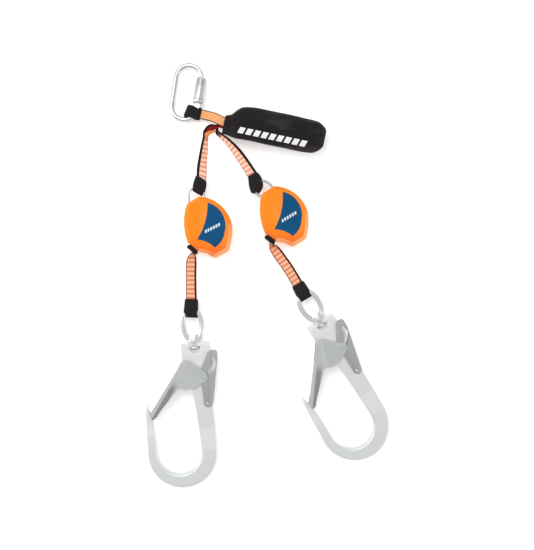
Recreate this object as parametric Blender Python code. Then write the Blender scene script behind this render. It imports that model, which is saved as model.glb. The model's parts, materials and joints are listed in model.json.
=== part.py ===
"""Twin-leg self retracting lifeline, lying flat: one oval karabiner, one energy absorber in a pouch,
and two legs, each with a webbing block, its lifeline, a swivel ring and a wide scaffold hook.

Run it with blender --background --python part.py, or from Blender's text editor.
Figures are millimetres and degrees, and MM turns them into the scene's metres.
"""

import math

import bmesh
import bpy
from mathutils import Matrix, Vector

MM = 0.001
GAP = 0.3  # running gap between two pieces that touch
ORIGIN_SHIFT = (-0.64, -0.97)  # brings the middle of the whole object onto the origin

# webbing
WEB_WIDTH = 18.0
WEB_THICK = 1.4
STRAP_THICK = 2.0

# the webbing block, about the drum's axis
BLOCK_Z = 18.0  # the parting plane, half of the block's thickness
BLOCK_THICK = 36.0
WALL = 2.2
RIM = 6.0  # slope round the front face
ANCHOR = (-18.9, 34.4)  # the pin that the top ring hangs on
ANCHOR_RADIUS = 2.8
SLOT_HALF = 3.2  # half height of the slot that the top ring swings in
SLOT_REACH = 21.0
GUIDE_MIDDLE = (-22.9, -38.3)
GUIDE_TURN = -40.3
WEB_MIDDLE_Z = 18.3
DRUM_RADIUS = 28.5
COIL_RADIUS = 27.0
HUB_RADIUS = 8.7
AXLE_RADIUS = 4.0
TEETH = 12
TOOTH_ROOT = 28.2
TOOTH_TIP = 26.0
PAWL_PIVOT = (0.0, 15.0)
TOP_RING_WIRE = 2.4
TOP_RING_HALF = (18.3, 13.3)  # half length and half width of the ring's centre line
TOP_RING_MIDDLE = 12.8  # from the anchor pin to the ring's middle

# the hook, about the boss of its swivel, with its length along -Y
HOOK_Z = 11.3
HEAD_HALF = 7.0
BAR_HALF = 10.4
GATE_PIVOT = (-17.0, -28.4)
LEVER_PIVOT = (11.9, -97.9)
TAIL_PIN = (13.1, -53.4)
GATE_SWING = 33.0
LEVER_SWING = 7.0
GATE_PLATE = (9.1, 10.6)  # inner and outer height of each cheek, from the middle
LEVER_PLATE = (7.3, 8.8)
SWIVEL_WIRE = 4.4
SWIVEL_TOP = 61.5

# the karabiner, about the middle of its oval
KARABINER = (-137.0, 311.1)
KARABINER_TURN = -8.6
KARABINER_TILT = -5.8  # it lies on its lock sleeve and its plain arm
KARABINER_Z = 6.95
OVAL_HALF_WIDTH = 22.2
OVAL_HALF_STRAIGHT = 24.5
OVAL_WIRE = 4.25
GATE_HINGE_Y = -21.0
NOSE_Y = 31.2

# the energy absorber
POUCH = (16.8, 245.8)
POUCH_TURN = -12.0
POUCH_Z = 22.5

# where each leg lies: drum axis, top ring and hook, with their turns about +Z
LEGS = {
    "left": {
        "drum": (-101.8, 85.2),
        "block_turn": 0.0,
        "ring_turn": 86.5,
        "hook": (-122.9, -121.4),
        "hook_turn": 6.0,
        "web": ((-127.6, 28.6), (-128.6, 14.0), (-128.9, -12.0), (-128.4, -40.2)),
        "sleeve": (-128.4, -40.8, -129.6, -72.4),
    },
    "right": {
        "drum": (26.4, 103.4),
        "block_turn": 3.7,
        "ring_turn": 142.0,
        "hook": (92.0, -83.4),
        "hook_turn": 30.5,
        "web": ((11.6, 45.4), (20.6, 33.0), (36.2, 11.2), (51.6, -14.0)),
        "sleeve": (52.0, -14.8, 67.2, -41.1),
    },
}


def clear_scene():
    for item in list(bpy.data.objects):
        bpy.data.objects.remove(item)


def finish(name, colour, roughness, metallic=0.0):
    made = bpy.data.materials.new(name)
    made.use_nodes = True
    shader = made.node_tree.nodes["Principled BSDF"]
    shader.inputs["Base Color"].default_value = (*colour, 1.0)
    shader.inputs["Roughness"].default_value = roughness
    shader.inputs["Metallic"].default_value = metallic
    return made


def pivot(name, place, turn=0.0, tilt=0.0):
    """An empty on a joint's axis, turned about +Z and then tilted about its own Y."""
    made = bpy.data.objects.new(name, None)
    made.location = Vector(place) * MM
    made.rotation_euler = (0.0, math.radians(tilt), math.radians(turn))
    made.empty_display_size = 0.01
    bpy.context.scene.collection.objects.link(made)
    return made


def linked(name, mesh, parent, place):
    bmesh.ops.recalc_face_normals(mesh, faces=mesh.faces)
    data = bpy.data.meshes.new(name)
    mesh.to_mesh(data)
    mesh.free()
    data.transform(Matrix.Scale(MM, 4))
    made = bpy.data.objects.new(name, data)
    made.parent = parent
    made.location = Vector(place) * MM
    bpy.context.scene.collection.objects.link(made)
    return made


def piece(name, mesh, parent, look, place=(0.0, 0.0, 0.0)):
    """One named piece of the object, from a mesh in its parent's frame."""
    made = linked(name, mesh, parent, place)
    made.data.shade_smooth()
    made.data.set_sharp_from_angle(angle=math.radians(35))
    made.data.materials.append(look)
    return made


def helper(name, mesh, parent, place=(0.0, 0.0, 0.0)):
    """A shape that only cuts or joins another, and isn't a piece."""
    made = linked(name, mesh, parent, place)
    made.hide_render = True
    made.display_type = "WIRE"
    return made


def combine(target, other, operation):
    modifier = target.modifiers.new(other.name, "BOOLEAN")
    modifier.operation = operation
    modifier.solver = "EXACT"
    modifier.object = other


def polar(middle, radius, degrees):
    angle = math.radians(degrees)
    return (middle[0] + radius * math.cos(angle), middle[1] + radius * math.sin(angle))


def turned_point(point, degrees, middle=(0.0, 0.0)):
    angle = math.radians(degrees)
    x, y = point[0] - middle[0], point[1] - middle[1]
    return (
        middle[0] + x * math.cos(angle) - y * math.sin(angle),
        middle[1] + x * math.sin(angle) + y * math.cos(angle),
    )


def arc(start, via, end, steps):
    """The points after start on the circle that runs from start through via to end."""
    ax, ay, bx, by, cx, cy = *start[:2], *via[:2], *end[:2]
    d = 2 * (ax * (by - cy) + bx * (cy - ay) + cx * (ay - by))
    a2, b2, c2 = ax * ax + ay * ay, bx * bx + by * by, cx * cx + cy * cy
    mx = (a2 * (by - cy) + b2 * (cy - ay) + c2 * (ay - by)) / d
    my = (a2 * (cx - bx) + b2 * (ax - cx) + c2 * (bx - ax)) / d
    first = math.atan2(ay - my, ax - mx)
    sweep = (math.atan2(cy - my, cx - mx) - first) % math.tau
    if (math.atan2(by - my, bx - mx) - first) % math.tau > sweep:
        sweep -= math.tau
    radius = math.hypot(ax - mx, ay - my)
    angles = [first + sweep * i / steps for i in range(1, steps + 1)]
    return [(mx + radius * math.cos(a), my + radius * math.sin(a), 0.0) for a in angles]


def inset(corners, distance):
    """The corners of a counter-clockwise outline moved inwards, with their radii made smaller."""
    moved = []
    for i, (x, y, radius) in enumerate(corners):
        here = Vector((x, y))
        before = (here - Vector(corners[i - 1][:2])).normalized()
        after = (Vector(corners[(i + 1) % len(corners)][:2]) - here).normalized()
        first, second = Vector((-before.y, before.x)), Vector((-after.y, after.x))
        here += (first + second) * distance / (1 + first.dot(second))
        moved.append((here.x, here.y, max(radius - distance, 0.6) if radius else 0.0))
    return moved


def rounded(corners, steps=3):
    """An outline's points, with an arc at each corner that has a radius."""
    points = []
    for i, (x, y, radius) in enumerate(corners):
        here = Vector((x, y))
        before = here - Vector(corners[i - 1][:2])
        after = Vector(corners[(i + 1) % len(corners)][:2]) - here
        turn = before.angle_signed(after)
        if not radius or abs(turn) < 0.02:
            points.append((x, y))
            continue
        run = min(radius * math.tan(abs(turn) / 2), 0.45 * before.length, 0.45 * after.length)
        radius = run / math.tan(abs(turn) / 2)
        start = here - before.normalized() * run
        side = Vector((before.y, -before.x)).normalized() * math.copysign(radius, turn)
        middle = start + side
        for step in range(steps + 1):
            offset = start - middle
            offset.rotate(Matrix.Rotation(-turn * step / steps, 2))
            points.append(tuple(middle + offset))
    return points


def loft(loops, ring=False):
    """A closed skin over loops of one length, capped at both ends or joined end to start."""
    mesh = bmesh.new()
    rows = [[mesh.verts.new(point) for point in loop] for loop in loops]
    pairs = list(zip(rows, rows[1:]))
    if ring:
        pairs.append((rows[-1], rows[0]))
    else:
        mesh.faces.new(rows[0])
        mesh.faces.new(rows[-1])
    for low, high in pairs:
        for i in range(len(low)):
            j = (i + 1) % len(low)
            mesh.faces.new((low[i], low[j], high[j], high[i]))
    return mesh


def level(outline, height):
    return [(x, y, height) for x, y in outline]


def prism(outline, low, high):
    return loft([level(outline, low), level(outline, high)])


def turning(profile, sides=20, ring=False):
    """A shape turned about Z, from (radius, height) pairs."""
    angles = [math.tau * i / sides for i in range(sides)]
    loops = [[(r * math.cos(a), r * math.sin(a), h) for a in angles] for r, h in profile]
    return loft(loops, ring)


def box(low, high):
    corners = [(low[0], low[1]), (high[0], low[1]), (high[0], high[1]), (low[0], high[1])]
    return prism(corners, low[2], high[2])


def moved(mesh, turn=0.0, place=(0.0, 0.0, 0.0), axis="Z"):
    mesh.transform(Matrix.Translation(place) @ Matrix.Rotation(math.radians(turn), 4, axis))
    return mesh


def sweep(path, radius, sides=10, ring=False):
    """A round bar along a path that lies in a plane of constant height."""
    loops = []
    count = len(path)
    for i, point in enumerate(path):
        before = path[i - 1] if ring or i else point
        after = path[(i + 1) % count] if ring or i + 1 < count else point
        along = Vector((after[0] - before[0], after[1] - before[1], 0.0)).normalized()
        across = Vector((-along.y, along.x, 0.0))
        angles = [math.tau * k / sides for k in range(sides)]
        up = Vector((0.0, 0.0, radius))
        loops.append(
            [Vector((*point, 0.0)) + across * radius * math.cos(a) + up * math.sin(a) for a in angles]
        )
    return loft(loops, ring)


def twisting(stations, most=7.0):
    """The stations with more between them wherever a band turns, so that no step twists it by over this many degrees."""
    found = []
    for first, second in zip(stations, stations[1:]):
        start, end = Vector(first[1]).normalized(), Vector(second[1]).normalized()
        steps = max(1, math.ceil(math.degrees(start.angle(end)) / most))
        for step in range(steps):
            t = step / steps
            place = Vector(first[0]).lerp(Vector(second[0]), t)
            width, thick = (first[k] + (second[k] - first[k]) * t for k in (2, 3))
            found.append((place, start.slerp(end, t), width, thick))
    return [*found, stations[-1]]


def strap(stations):
    """A flat band over stations of (centre, direction of its width, width, thickness)."""
    loops = []
    stations = twisting(stations)
    for i, (centre, wide, width, thick) in enumerate(stations):
        before = Vector(stations[max(i - 1, 0)][0])
        after = Vector(stations[min(i + 1, len(stations) - 1)][0])
        along = (after - before).normalized()
        wide = Vector(wide).normalized()
        thin = along.cross(wide).normalized() * thick / 2
        wide *= width / 2
        centre = Vector(centre)
        loops.append([centre + wide + thin, centre - wide + thin, centre - wide - thin, centre + wide - thin])
    return loft(loops)


def pad(stations):
    """As strap, with bevelled long edges, for a sleeve of folded fabric."""
    loops = []
    for i, (centre, wide, width, thick) in enumerate(stations):
        before = Vector(stations[max(i - 1, 0)][0])
        after = Vector(stations[min(i + 1, len(stations) - 1)][0])
        along = (after - before).normalized()
        wide = Vector(wide).normalized()
        thin = along.cross(wide).normalized()
        half, high = width / 2, thick / 2
        corners = [(half, high / 2), (half - high / 2, high), (high / 2 - half, high), (-half, high / 2)]
        corners += [(-x, -y) for x, y in corners]
        loops.append([Vector(centre) + wide * x + thin * y for x, y in corners])
    return loft(loops)


def facing(degrees):
    angle = math.radians(degrees)
    return Vector((math.cos(angle), math.sin(angle), 0.0))


# ---- the webbing block ----


def block_outline(distance=0.0):
    top_left, web_high = (-33.4, 34.6, 7.0), (-31.5, -31.0, 4.0)
    web_low, belly, tip = (-14.3, -45.6, 4.0), (0.5, -49.4, 0.0), (14.3, -56.9, 6.0)
    corner, side, top = (36.8, -44.6, 6.0), (42.9, -1.2, 0.0), (-11.9, 47.3, 8.0)
    outline = [top_left, *arc(top_left, (-38.2, 2.0), web_high, 5)[:-1], web_high]
    outline += [web_low, belly, tip, corner]
    outline += [*arc(corner, (42.4, -20.0), side, 4)]
    outline += [*arc(side, (19.6, 35.6), top, 8)[:-1], top]
    return rounded(inset(outline, distance))


def shell(levels):
    return loft([level(block_outline(distance), height) for distance, height in levels])


def ring_slot(base):
    """Cuts the slot that the top ring swings in."""
    low, high = BLOCK_Z - SLOT_HALF, BLOCK_Z + SLOT_HALF
    mesh = moved(turning([(SLOT_REACH, low), (SLOT_REACH, high)], 28), place=(*ANCHOR, 0.0))
    return helper(base.name + "_ring_slot", mesh, base)


def guide_opening(base):
    mesh = box((-7.0, -6.0, 6.2), (9.8, 6.0, 29.8))
    return helper(base.name + "_guide_opening", moved(mesh, GUIDE_TURN, (*GUIDE_MIDDLE, 0.0)), base)


def casing(side, base, looks):
    rear = [(2.6, WALL), (WALL, 4.0), (WALL, BLOCK_Z - GAP / 2), (0.0, BLOCK_Z - GAP / 2), (0.0, 3.5), (3.5, 0.0)]
    top = BLOCK_THICK
    front = [(RIM + 1.5, top - WALL), (WALL, top - 8.0), (WALL, BLOCK_Z + GAP / 2)]
    front += [(0.0, BLOCK_Z + GAP / 2), (0.0, top - 7.0), (RIM, top)]
    slot, opening = ring_slot(base), guide_opening(base)
    back = piece(side + "_rear_shell", shell(rear), base, looks["pale"])
    face = piece(side + "_front_shell", shell(front), base, looks["orange"])
    for half in (back, face):
        combine(half, slot, "DIFFERENCE")
        combine(half, opening, "DIFFERENCE")
    label = label_outline()
    pocket = prism(label_outline(-GAP), top - 0.9, top + 2.0)
    combine(face, helper(side + "_label_pocket", pocket, base), "DIFFERENCE")
    piece(side + "_label_panel", prism(label, top - 0.6, top + 0.4), base, looks["blue"])


def label_outline(distance=0.0):
    top, right, tip, left = (2.5, 36.0, 0.0), (30.3, -14.0, 0.0), (14.3, -38.6, 0.0), (-15.0, -25.4, 0.0)
    outline = [top, *arc(top, (-0.8, 7.0), left, 6), *arc(left, (1.0, -29.6), tip, 4)]
    outline += [*arc(tip, (25.6, -27.6), right, 4), *arc(right, (26.8, 17.2), top, 7)[:-1]]
    return [(x, y) for x, y, _ in inset(outline, distance)]


def web_guide(side, base, looks):
    """The black mouthpiece that the webbing bends over."""
    mouth = [(-8.6, -5.6), (-7.0, -7.2), (10.2, -7.2), (11.8, -5.6), (11.8, -2.6), (10.2, -0.9)]
    mouth += [(9.4, -0.9), (9.4, 3.5), (-6.6, 3.5), (-6.6, -0.9), (-7.0, -0.9), (-8.6, -2.6)]
    guide = piece(side + "_web_guide", guided(prism(mouth, 6.6, 29.4)), base, looks["black"])
    throat = [(-4.6, 4.0), (0.5, -2.0), (-0.2, -8.0), (10.2, -8.0), (10.2, -6.6), (4.4, -2.0), (5.4, 4.0)]
    low, high = WEB_MIDDLE_Z - WEB_WIDTH / 2 - 0.6, WEB_MIDDLE_Z + WEB_WIDTH / 2 + 0.6
    cutter = helper(side + "_web_throat", guided(prism(throat[::-1], low, high)), base)
    combine(guide, cutter, "DIFFERENCE")


def guided(mesh):
    return moved(mesh, GUIDE_TURN, (*GUIDE_MIDDLE, 0.0))


def load_path(side, base, looks):
    plate = piece(side + "_frame_plate", prism(block_outline(3.4), 2.5, 4.5), base, looks["steel"])
    for name, at, radius in (("axle", (0.0, 0.0), AXLE_RADIUS), ("anchor", ANCHOR, ANCHOR_RADIUS)):
        hole = turning([(radius + GAP, 0.0), (radius + GAP, 9.0)], 16)
        cutter = helper(f"{side}_{name}_hole", moved(hole, place=(*at, 0.0)), base)
        combine(plate, cutter, "DIFFERENCE")
    pin = turning([(ANCHOR_RADIUS, 2.5), (ANCHOR_RADIUS, 28.5)], 14)
    piece(side + "_anchor_pin", moved(pin, place=(*ANCHOR, 0.0)), base, looks["steel"])
    axle = turning([(AXLE_RADIUS, 2.5), (AXLE_RADIUS, 33.4)], 14)
    piece(side + "_drum_axle", axle, base, looks["steel"])


def ratchet_ring(side, base, looks):
    inner = []
    for tooth in range(TEETH):
        start = 360.0 * tooth / TEETH
        for step, radius in ((0.0, TOOTH_TIP), (4.0, TOOTH_TIP), (7.0, TOOTH_ROOT), (24.0, TOOTH_ROOT)):
            inner.append(polar((0.0, 0.0), radius, start + step))
    outer = [Vector(p).normalized() * 30.2 for p in inner]
    low, high = 29.5, 31.7
    loops = [level(inner, low), level(outer, low), level(outer, high), level(inner, high)]
    piece(side + "_ratchet_ring", loft(loops, ring=True), base, looks["steel"])


def power_spring(side, base, looks, turns=5, per_turn=14):
    """The flat spiral that winds the webbing back, drawn with fewer turns than it has."""
    stations = []
    for i in range(turns * per_turn + 1):
        share = i / (turns * per_turn)
        x, y = polar((0.0, 0.0), 6.0 + 17.5 * share, 360.0 * turns * share)
        stations.append(((x, y, 6.1), (0.0, 0.0, 1.0), 2.2, 1.1))
    piece(side + "_power_spring", strap(stations), base, looks["spring"])


def drum(side, base, looks):
    low, high = WEB_MIDDLE_Z - WEB_WIDTH / 2 - GAP, WEB_MIDDLE_Z + WEB_WIDTH / 2 + GAP
    bore = AXLE_RADIUS + GAP
    profile = [(bore, low - 0.9), (DRUM_RADIUS, low - 0.9), (DRUM_RADIUS, low), (HUB_RADIUS, low)]
    profile += [(HUB_RADIUS, high), (DRUM_RADIUS, high), (DRUM_RADIUS, high + 0.9), (bore, high + 0.9)]
    spool = piece(side + "_drum", turning(profile, 32, ring=True), base, looks["grey"])
    stud = moved(turning([(1.3, high), (1.3, high + 3.0)], 10), place=(*PAWL_PIVOT, 0.0))
    combine(spool, helper(side + "_pawl_stud", stud, base), "UNION")
    coil = [(HUB_RADIUS + GAP, low + GAP), (COIL_RADIUS, low + GAP), (COIL_RADIUS, high - GAP)]
    coil.append((HUB_RADIUS + GAP, high - GAP))
    piece(side + "_web_coil", turning(coil, 32, ring=True), base, looks["webbing"])


def pawl(side, base, looks):
    """The catch that flies out into the ratchet ring when the drum is pulled round fast."""
    outline = [(-3.4, 0.6, 2.0), (-1.6, -3.0, 2.0), (6.0, -1.8, 2.0), (12.4, 4.0, 0.0)]
    outline += [(11.8, 6.2, 0.0), (4.0, 4.4, 2.0), (-1.6, 3.4, 2.0)]
    arm = piece(side + "_pawl", prism(rounded(outline, 2), 29.4, 31.4), base, looks["steel"])
    hole = turning([(1.6, 27.0), (1.6, 33.0)], 12)
    combine(arm, helper(side + "_pawl_hole", hole, base), "DIFFERENCE")


def top_ring_path(steps=24):
    """The centre line of the oval top ring, about its anchor pin, reaching out along +X."""
    long, wide = TOP_RING_HALF
    return [
        (TOP_RING_MIDDLE + long * math.cos(math.tau * i / steps), wide * math.sin(math.tau * i / steps))
        for i in range(steps)
    ]


# ---- the hook ----


def hook_stations():
    """Inner edge, outer edge, half thickness and bevel of the hook's bar, from its nose to its head."""
    stations = [
        ((-91.0, -90.5), (-93.0, -90.0), 4.0, 0.8),
        ((-87.0, -104.0), (-94.6, -103.0), 6.3, 1.5),
        ((-83.6, -122.7), (-95.4, -122.0), 6.6, 2.0),
        ((-82.0, -146.0), (-96.6, -147.0), 9.6, 3.5),
    ]
    inner = [(-80.9, -168.0)] + arc((-80.9, -168.0), (-45.6, -212.3), (-6.0, -172.0), 9)
    outer = [(-97.4, -170.0)] + arc((-97.4, -170.0), (-46.5, -235.4), (20.9, -180.0), 9)
    stations += [(near[:2], far[:2], BAR_HALF, 4.5) for near, far in zip(inner, outer)]
    stations += [
        ((-7.0, -140.0), (20.8, -140.0), BAR_HALF, 4.0),
        ((-8.2, -112.0), (20.3, -110.0), HEAD_HALF, 1.2),
        ((-10.5, -73.4), (20.3, -73.4), HEAD_HALF, 1.2),
        ((-18.0, -48.0), (20.3, -48.0), HEAD_HALF, 1.2),
        ((-23.5, -22.0), (20.6, -18.0), HEAD_HALF, 1.2),
        ((-23.8, -10.0), (25.9, -8.0), HEAD_HALF, 1.2),
        ((-23.8, 6.8), (26.2, 6.8), HEAD_HALF, 1.2),
    ]
    return stations


def hook_body(side, base, looks):
    loops = []
    for near, far, high, bevel in hook_stations():
        near, far = Vector((*near, 0.0)), Vector((*far, 0.0))
        across = (far - near).normalized()
        up = Vector((0.0, 0.0, 1.0))
        inward, outward = min(bevel, 0.4 * (far - near).length), min(bevel * 0.7, 0.3 * (far - near).length)
        low, top = high - bevel, high
        loop = [near + up * low, near + across * inward + up * top, far - across * outward + up * top]
        loop += [far + up * low, far - up * low, far - across * outward - up * top]
        loop += [near + across * inward - up * top, near - up * low]
        loops.append(loop)
    body = piece(side + "_hook_body", loft(loops), base, looks["aluminium"])
    window = [(-11.0, 0.8, 0.0), *arc((-11.0, 0.8), (0.0, -10.2), (11.0, 0.8), 8)]
    cutters = [helper(side + "_pin_window", prism([p[:2] for p in window], -12.0, 12.0), base)]
    shaft = moved(turning([(4.5, -12.0), (4.5, 12.0)], 14), 90.0, (0.0, 8.0, 0.0), "X")
    cutters.append(helper(side + "_pin_bore", shaft, base))
    for name, at, radius in (("gate", GATE_PIVOT, 3.9), ("lever", LEVER_PIVOT, 3.4)):
        hole = moved(turning([(radius + GAP, -13.0), (radius + GAP, 13.0)], 14), place=(*at, 0.0))
        cutters.append(helper(f"{side}_{name}_bore", hole, base))
    cutters.append(helper(side + "_tail_slot", prism(tail_slot(), -12.0, 12.0), base))
    for cutter in cutters:
        combine(body, cutter, "DIFFERENCE")


def banana(path, half):
    """The outline of a slot of one width along a path, with round ends."""
    left, right = [], []
    for i, point in enumerate(path):
        before, after = path[max(i - 1, 0)], path[min(i + 1, len(path) - 1)]
        along = math.degrees(math.atan2(after[1] - before[1], after[0] - before[0]))
        left.append(polar(point, half, along + 90.0))
        right.append(polar(point, half, along - 90.0))
    first = math.degrees(math.atan2(path[1][1] - path[0][1], path[1][0] - path[0][0]))
    last = math.degrees(math.atan2(path[-1][1] - path[-2][1], path[-1][0] - path[-2][0]))
    start = [polar(path[0], half, first + a) for a in (225.0, 180.0, 135.0)]
    end = [polar(path[-1], half, last + a) for a in (45.0, 0.0, -45.0)]
    return (start + left + end + right[::-1])[::-1]


def tail_slot():
    """The slot in the hook's head that the gate's tail pin sweeps through."""
    path = [turned_point(TAIL_PIN, GATE_SWING * i / 6, GATE_PIVOT) for i in range(7)]
    return banana(path, 3.6)


def lever_slot():
    """Where the tail pin travels in the lever's own frame, when both turn at one constant ratio."""
    path = []
    for i in range(7):
        pin = turned_point(TAIL_PIN, GATE_SWING * i / 6, GATE_PIVOT)
        path.append(turned_point(pin, -LEVER_SWING * i / 6, LEVER_PIVOT))
    return banana([*path, (28.8, -24.0)], 3.6)


def hook_gate(side, base, looks):
    """The gate: two fan-shaped cheeks over the head, and an arm that closes the mouth."""
    outline = [(-26.2, -24.8, 3.0), (-34.0, -37.0, 0.0), (-87.6, -107.5, 2.0), (-84.6, -118.5, 3.0)]
    outline += [(-77.0, -113.0, 4.0), (-71.0, -105.0, 0.0), (-32.5, -66.3, 8.0), (-20.4, -72.9, 14.0)]
    outline += [(-5.4, -69.2, 8.0), (10.0, -61.4, 5.0), (18.4, -56.0, 4.0), (16.2, -47.4, 4.0)]
    outline += [(-10.6, -23.4, 7.0), (-20.6, -20.6, 5.0)]
    low, high = GATE_PLATE
    cheek = rounded(outline, 2)
    local = [(x - GATE_PIVOT[0], y - GATE_PIVOT[1]) for x, y in cheek]
    gate = piece(side + "_gate", prism(local, low, high), base, looks["steel"])
    other = helper(side + "_gate_cheek", prism(local, -high, -low), base)
    web = [(-41.2, -46.4), (-79.5, -96.8), (-77.9, -98.0), (-39.6, -47.6)]
    web = [(x - GATE_PIVOT[0], y - GATE_PIVOT[1]) for x, y in web]
    back = helper(side + "_gate_back", prism(web, -high + 0.2, high - 0.2), base)
    combine(gate, back, "UNION")
    combine(gate, other, "UNION")
    for name, at, radius in (("rivet", GATE_PIVOT, 3.9), ("tail", TAIL_PIN, 2.9)):
        hole = turning([(radius + GAP, -12.0), (radius + GAP, 12.0)], 14)
        offset = (at[0] - GATE_PIVOT[0], at[1] - GATE_PIVOT[1], 0.0)
        combine(gate, helper(f"{side}_gate_{name}_hole", moved(hole, place=offset), base), "DIFFERENCE")
    tail = moved(turning([(2.9, -11.0), (2.9, 11.0)], 12), place=offset)
    piece(side + "_gate_tail_pin", tail, base, looks["steel"])


def lock_lever(side, base, looks):
    """The lever on the hook's back: it is squeezed to let the gate open."""
    outline = [(22.0, -9.6, 3.0), (7.0, -38.0, 8.0), (5.4, -66.0, 8.0), (6.2, -101.0, 5.0)]
    outline += [(12.5, -105.6, 5.0), (20.4, -102.6, 5.0), (36.0, -25.3, 6.0), (36.6, -10.6, 3.0)]
    low, high = LEVER_PLATE
    local = [(x - LEVER_PIVOT[0], y - LEVER_PIVOT[1]) for x, y in rounded(outline, 2)]
    lever = piece(side + "_lock_lever", prism(local, low, high), base, looks["steel"])
    other = helper(side + "_lever_cheek", prism(local, -high, -low), base)
    back = [(27.6, -66.5), (35.9, -25.3), (36.1, -19.0), (34.6, -19.0), (34.3, -25.0), (26.0, -66.2)]
    back = [(x - LEVER_PIVOT[0], y - LEVER_PIVOT[1]) for x, y in back]
    combine(lever, helper(side + "_lever_back", prism(back, -high + 0.2, high - 0.2), base), "UNION")
    combine(lever, other, "UNION")
    slot = [(x - LEVER_PIVOT[0], y - LEVER_PIVOT[1]) for x, y in lever_slot()]
    combine(lever, helper(side + "_lever_slot", prism(slot, -12.0, 12.0), base), "DIFFERENCE")
    hole = turning([(3.4 + GAP, -13.0), (3.4 + GAP, 13.0)], 14)
    combine(lever, helper(side + "_lever_hole", hole, base), "DIFFERENCE")


def rivets(side, base, looks):
    gate = turning([(5.4, -11.2), (5.4, -10.8), (3.9, -10.8), (3.9, 10.8), (5.4, 10.8), (5.4, 11.2)], 14)
    piece(side + "_gate_rivet", moved(gate, place=(*GATE_PIVOT, 0.0)), base, looks["steel"])
    lever = turning([(3.4, -9.0), (3.4, 9.0)], 14)
    piece(side + "_lever_rivet", moved(lever, place=(*LEVER_PIVOT, 0.0)), base, looks["steel"])


def swivel_path():
    """The centre line of the swivel ring, about its top bar, hanging along -Y."""
    right = [(0.0, 0.0), *[p[:2] for p in arc((0.0, 0.0), (9.2, -3.4), (14.6, -12.0), 4)]]
    right += [(16.2, -21.0), (15.8, -31.0), (13.6, -40.0), (9.6, -46.6), (3.4, -49.0)]
    return right + [(-x, y) for x, y in right[:0:-1]]


def swivel(side, base, looks):
    ring = piece(side + "_swivel_ring", sweep(swivel_path(), SWIVEL_WIRE, 10, ring=True), base, looks["steel"])
    barrel = [(-9.4, -42.6), (-11.4, -53.6), (11.4, -53.6), (9.4, -42.6)]
    neck = helper(side + "_swivel_barrel", prism(barrel, -6.2, 6.2), base)
    combine(ring, neck, "UNION")
    bore = moved(turning([(4.5, -12.0), (4.5, 4.0)], 14), 90.0, (0.0, -55.0, 0.0), "X")
    combine(ring, helper(side + "_swivel_bore", bore, base), "DIFFERENCE")
    pin = turning([(4.2, -14.0), (4.2, 0.6), (7.0, 0.6), (7.0, 4.6), (4.6, 6.2)], 16)
    place = (0.0, 0.3 - SWIVEL_TOP, 0.0)
    piece(side + "_swivel_pin", moved(pin, 90.0, place, "X"), base, looks["steel"])


# ---- one leg ----


def leg(side, looks):
    plan = LEGS[side]
    turn = plan["block_turn"]
    anchor = turned_point(ANCHOR, turn)
    anchor = (plan["drum"][0] + anchor[0], plan["drum"][1] + anchor[1])
    far = TOP_RING_MIDDLE + TOP_RING_HALF[0]
    loop = polar(anchor, far, plan["ring_turn"])

    ring_base = pivot(side + "_ring_swing", (*loop, BLOCK_Z), plan["ring_turn"])
    path = [(x - far, y) for x, y in top_ring_path()]
    piece(side + "_top_ring", sweep(path, TOP_RING_WIRE, 8, ring=True), ring_base, looks["steel"])

    hang = pivot(side + "_block_turn", (*anchor, 0.0), turn)
    base = bpy.data.objects.new(side + "_block", None)
    base.parent = hang
    base.location = Vector((-ANCHOR[0], -ANCHOR[1], 0.0)) * MM
    bpy.context.scene.collection.objects.link(base)
    casing(side, base, looks)
    web_guide(side, base, looks)
    load_path(side, base, looks)
    ratchet_ring(side, base, looks)
    power_spring(side, base, looks)

    drum_base = pivot(side + "_drum_turn", (*plan["drum"], 0.0), turn)
    drum(side, drum_base, looks)
    catch = turned_point(PAWL_PIVOT, turn)
    catch = (plan["drum"][0] + catch[0], plan["drum"][1] + catch[1], 0.0)
    pawl(side, pivot(side + "_pawl_turn", catch, turn), looks)

    lifeline(side, plan, looks)

    top = turned_point((0.0, SWIVEL_TOP), plan["hook_turn"])
    top = (plan["hook"][0] + top[0], plan["hook"][1] + top[1])
    swing = pivot(side + "_hook_swing", (*top, HOOK_Z), plan["hook_turn"])
    swivel(side, swing, looks)
    lower_sleeve(side, plan, swing, looks)
    hook_base = pivot(side + "_hook_swivel", (*plan["hook"], HOOK_Z), plan["hook_turn"])
    hook_body(side, hook_base, looks)
    rivets(side, hook_base, looks)
    for name, at, build in (("gate", GATE_PIVOT, hook_gate), ("lever", LEVER_PIVOT, lock_lever)):
        x, y = turned_point(at, plan["hook_turn"])
        place = (plan["hook"][0] + x, plan["hook"][1] + y, HOOK_Z)
        build(side, pivot(f"{side}_{name}_turn", place, plan["hook_turn"]), looks)
    upper_sleeve(side, ring_base, looks)


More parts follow.
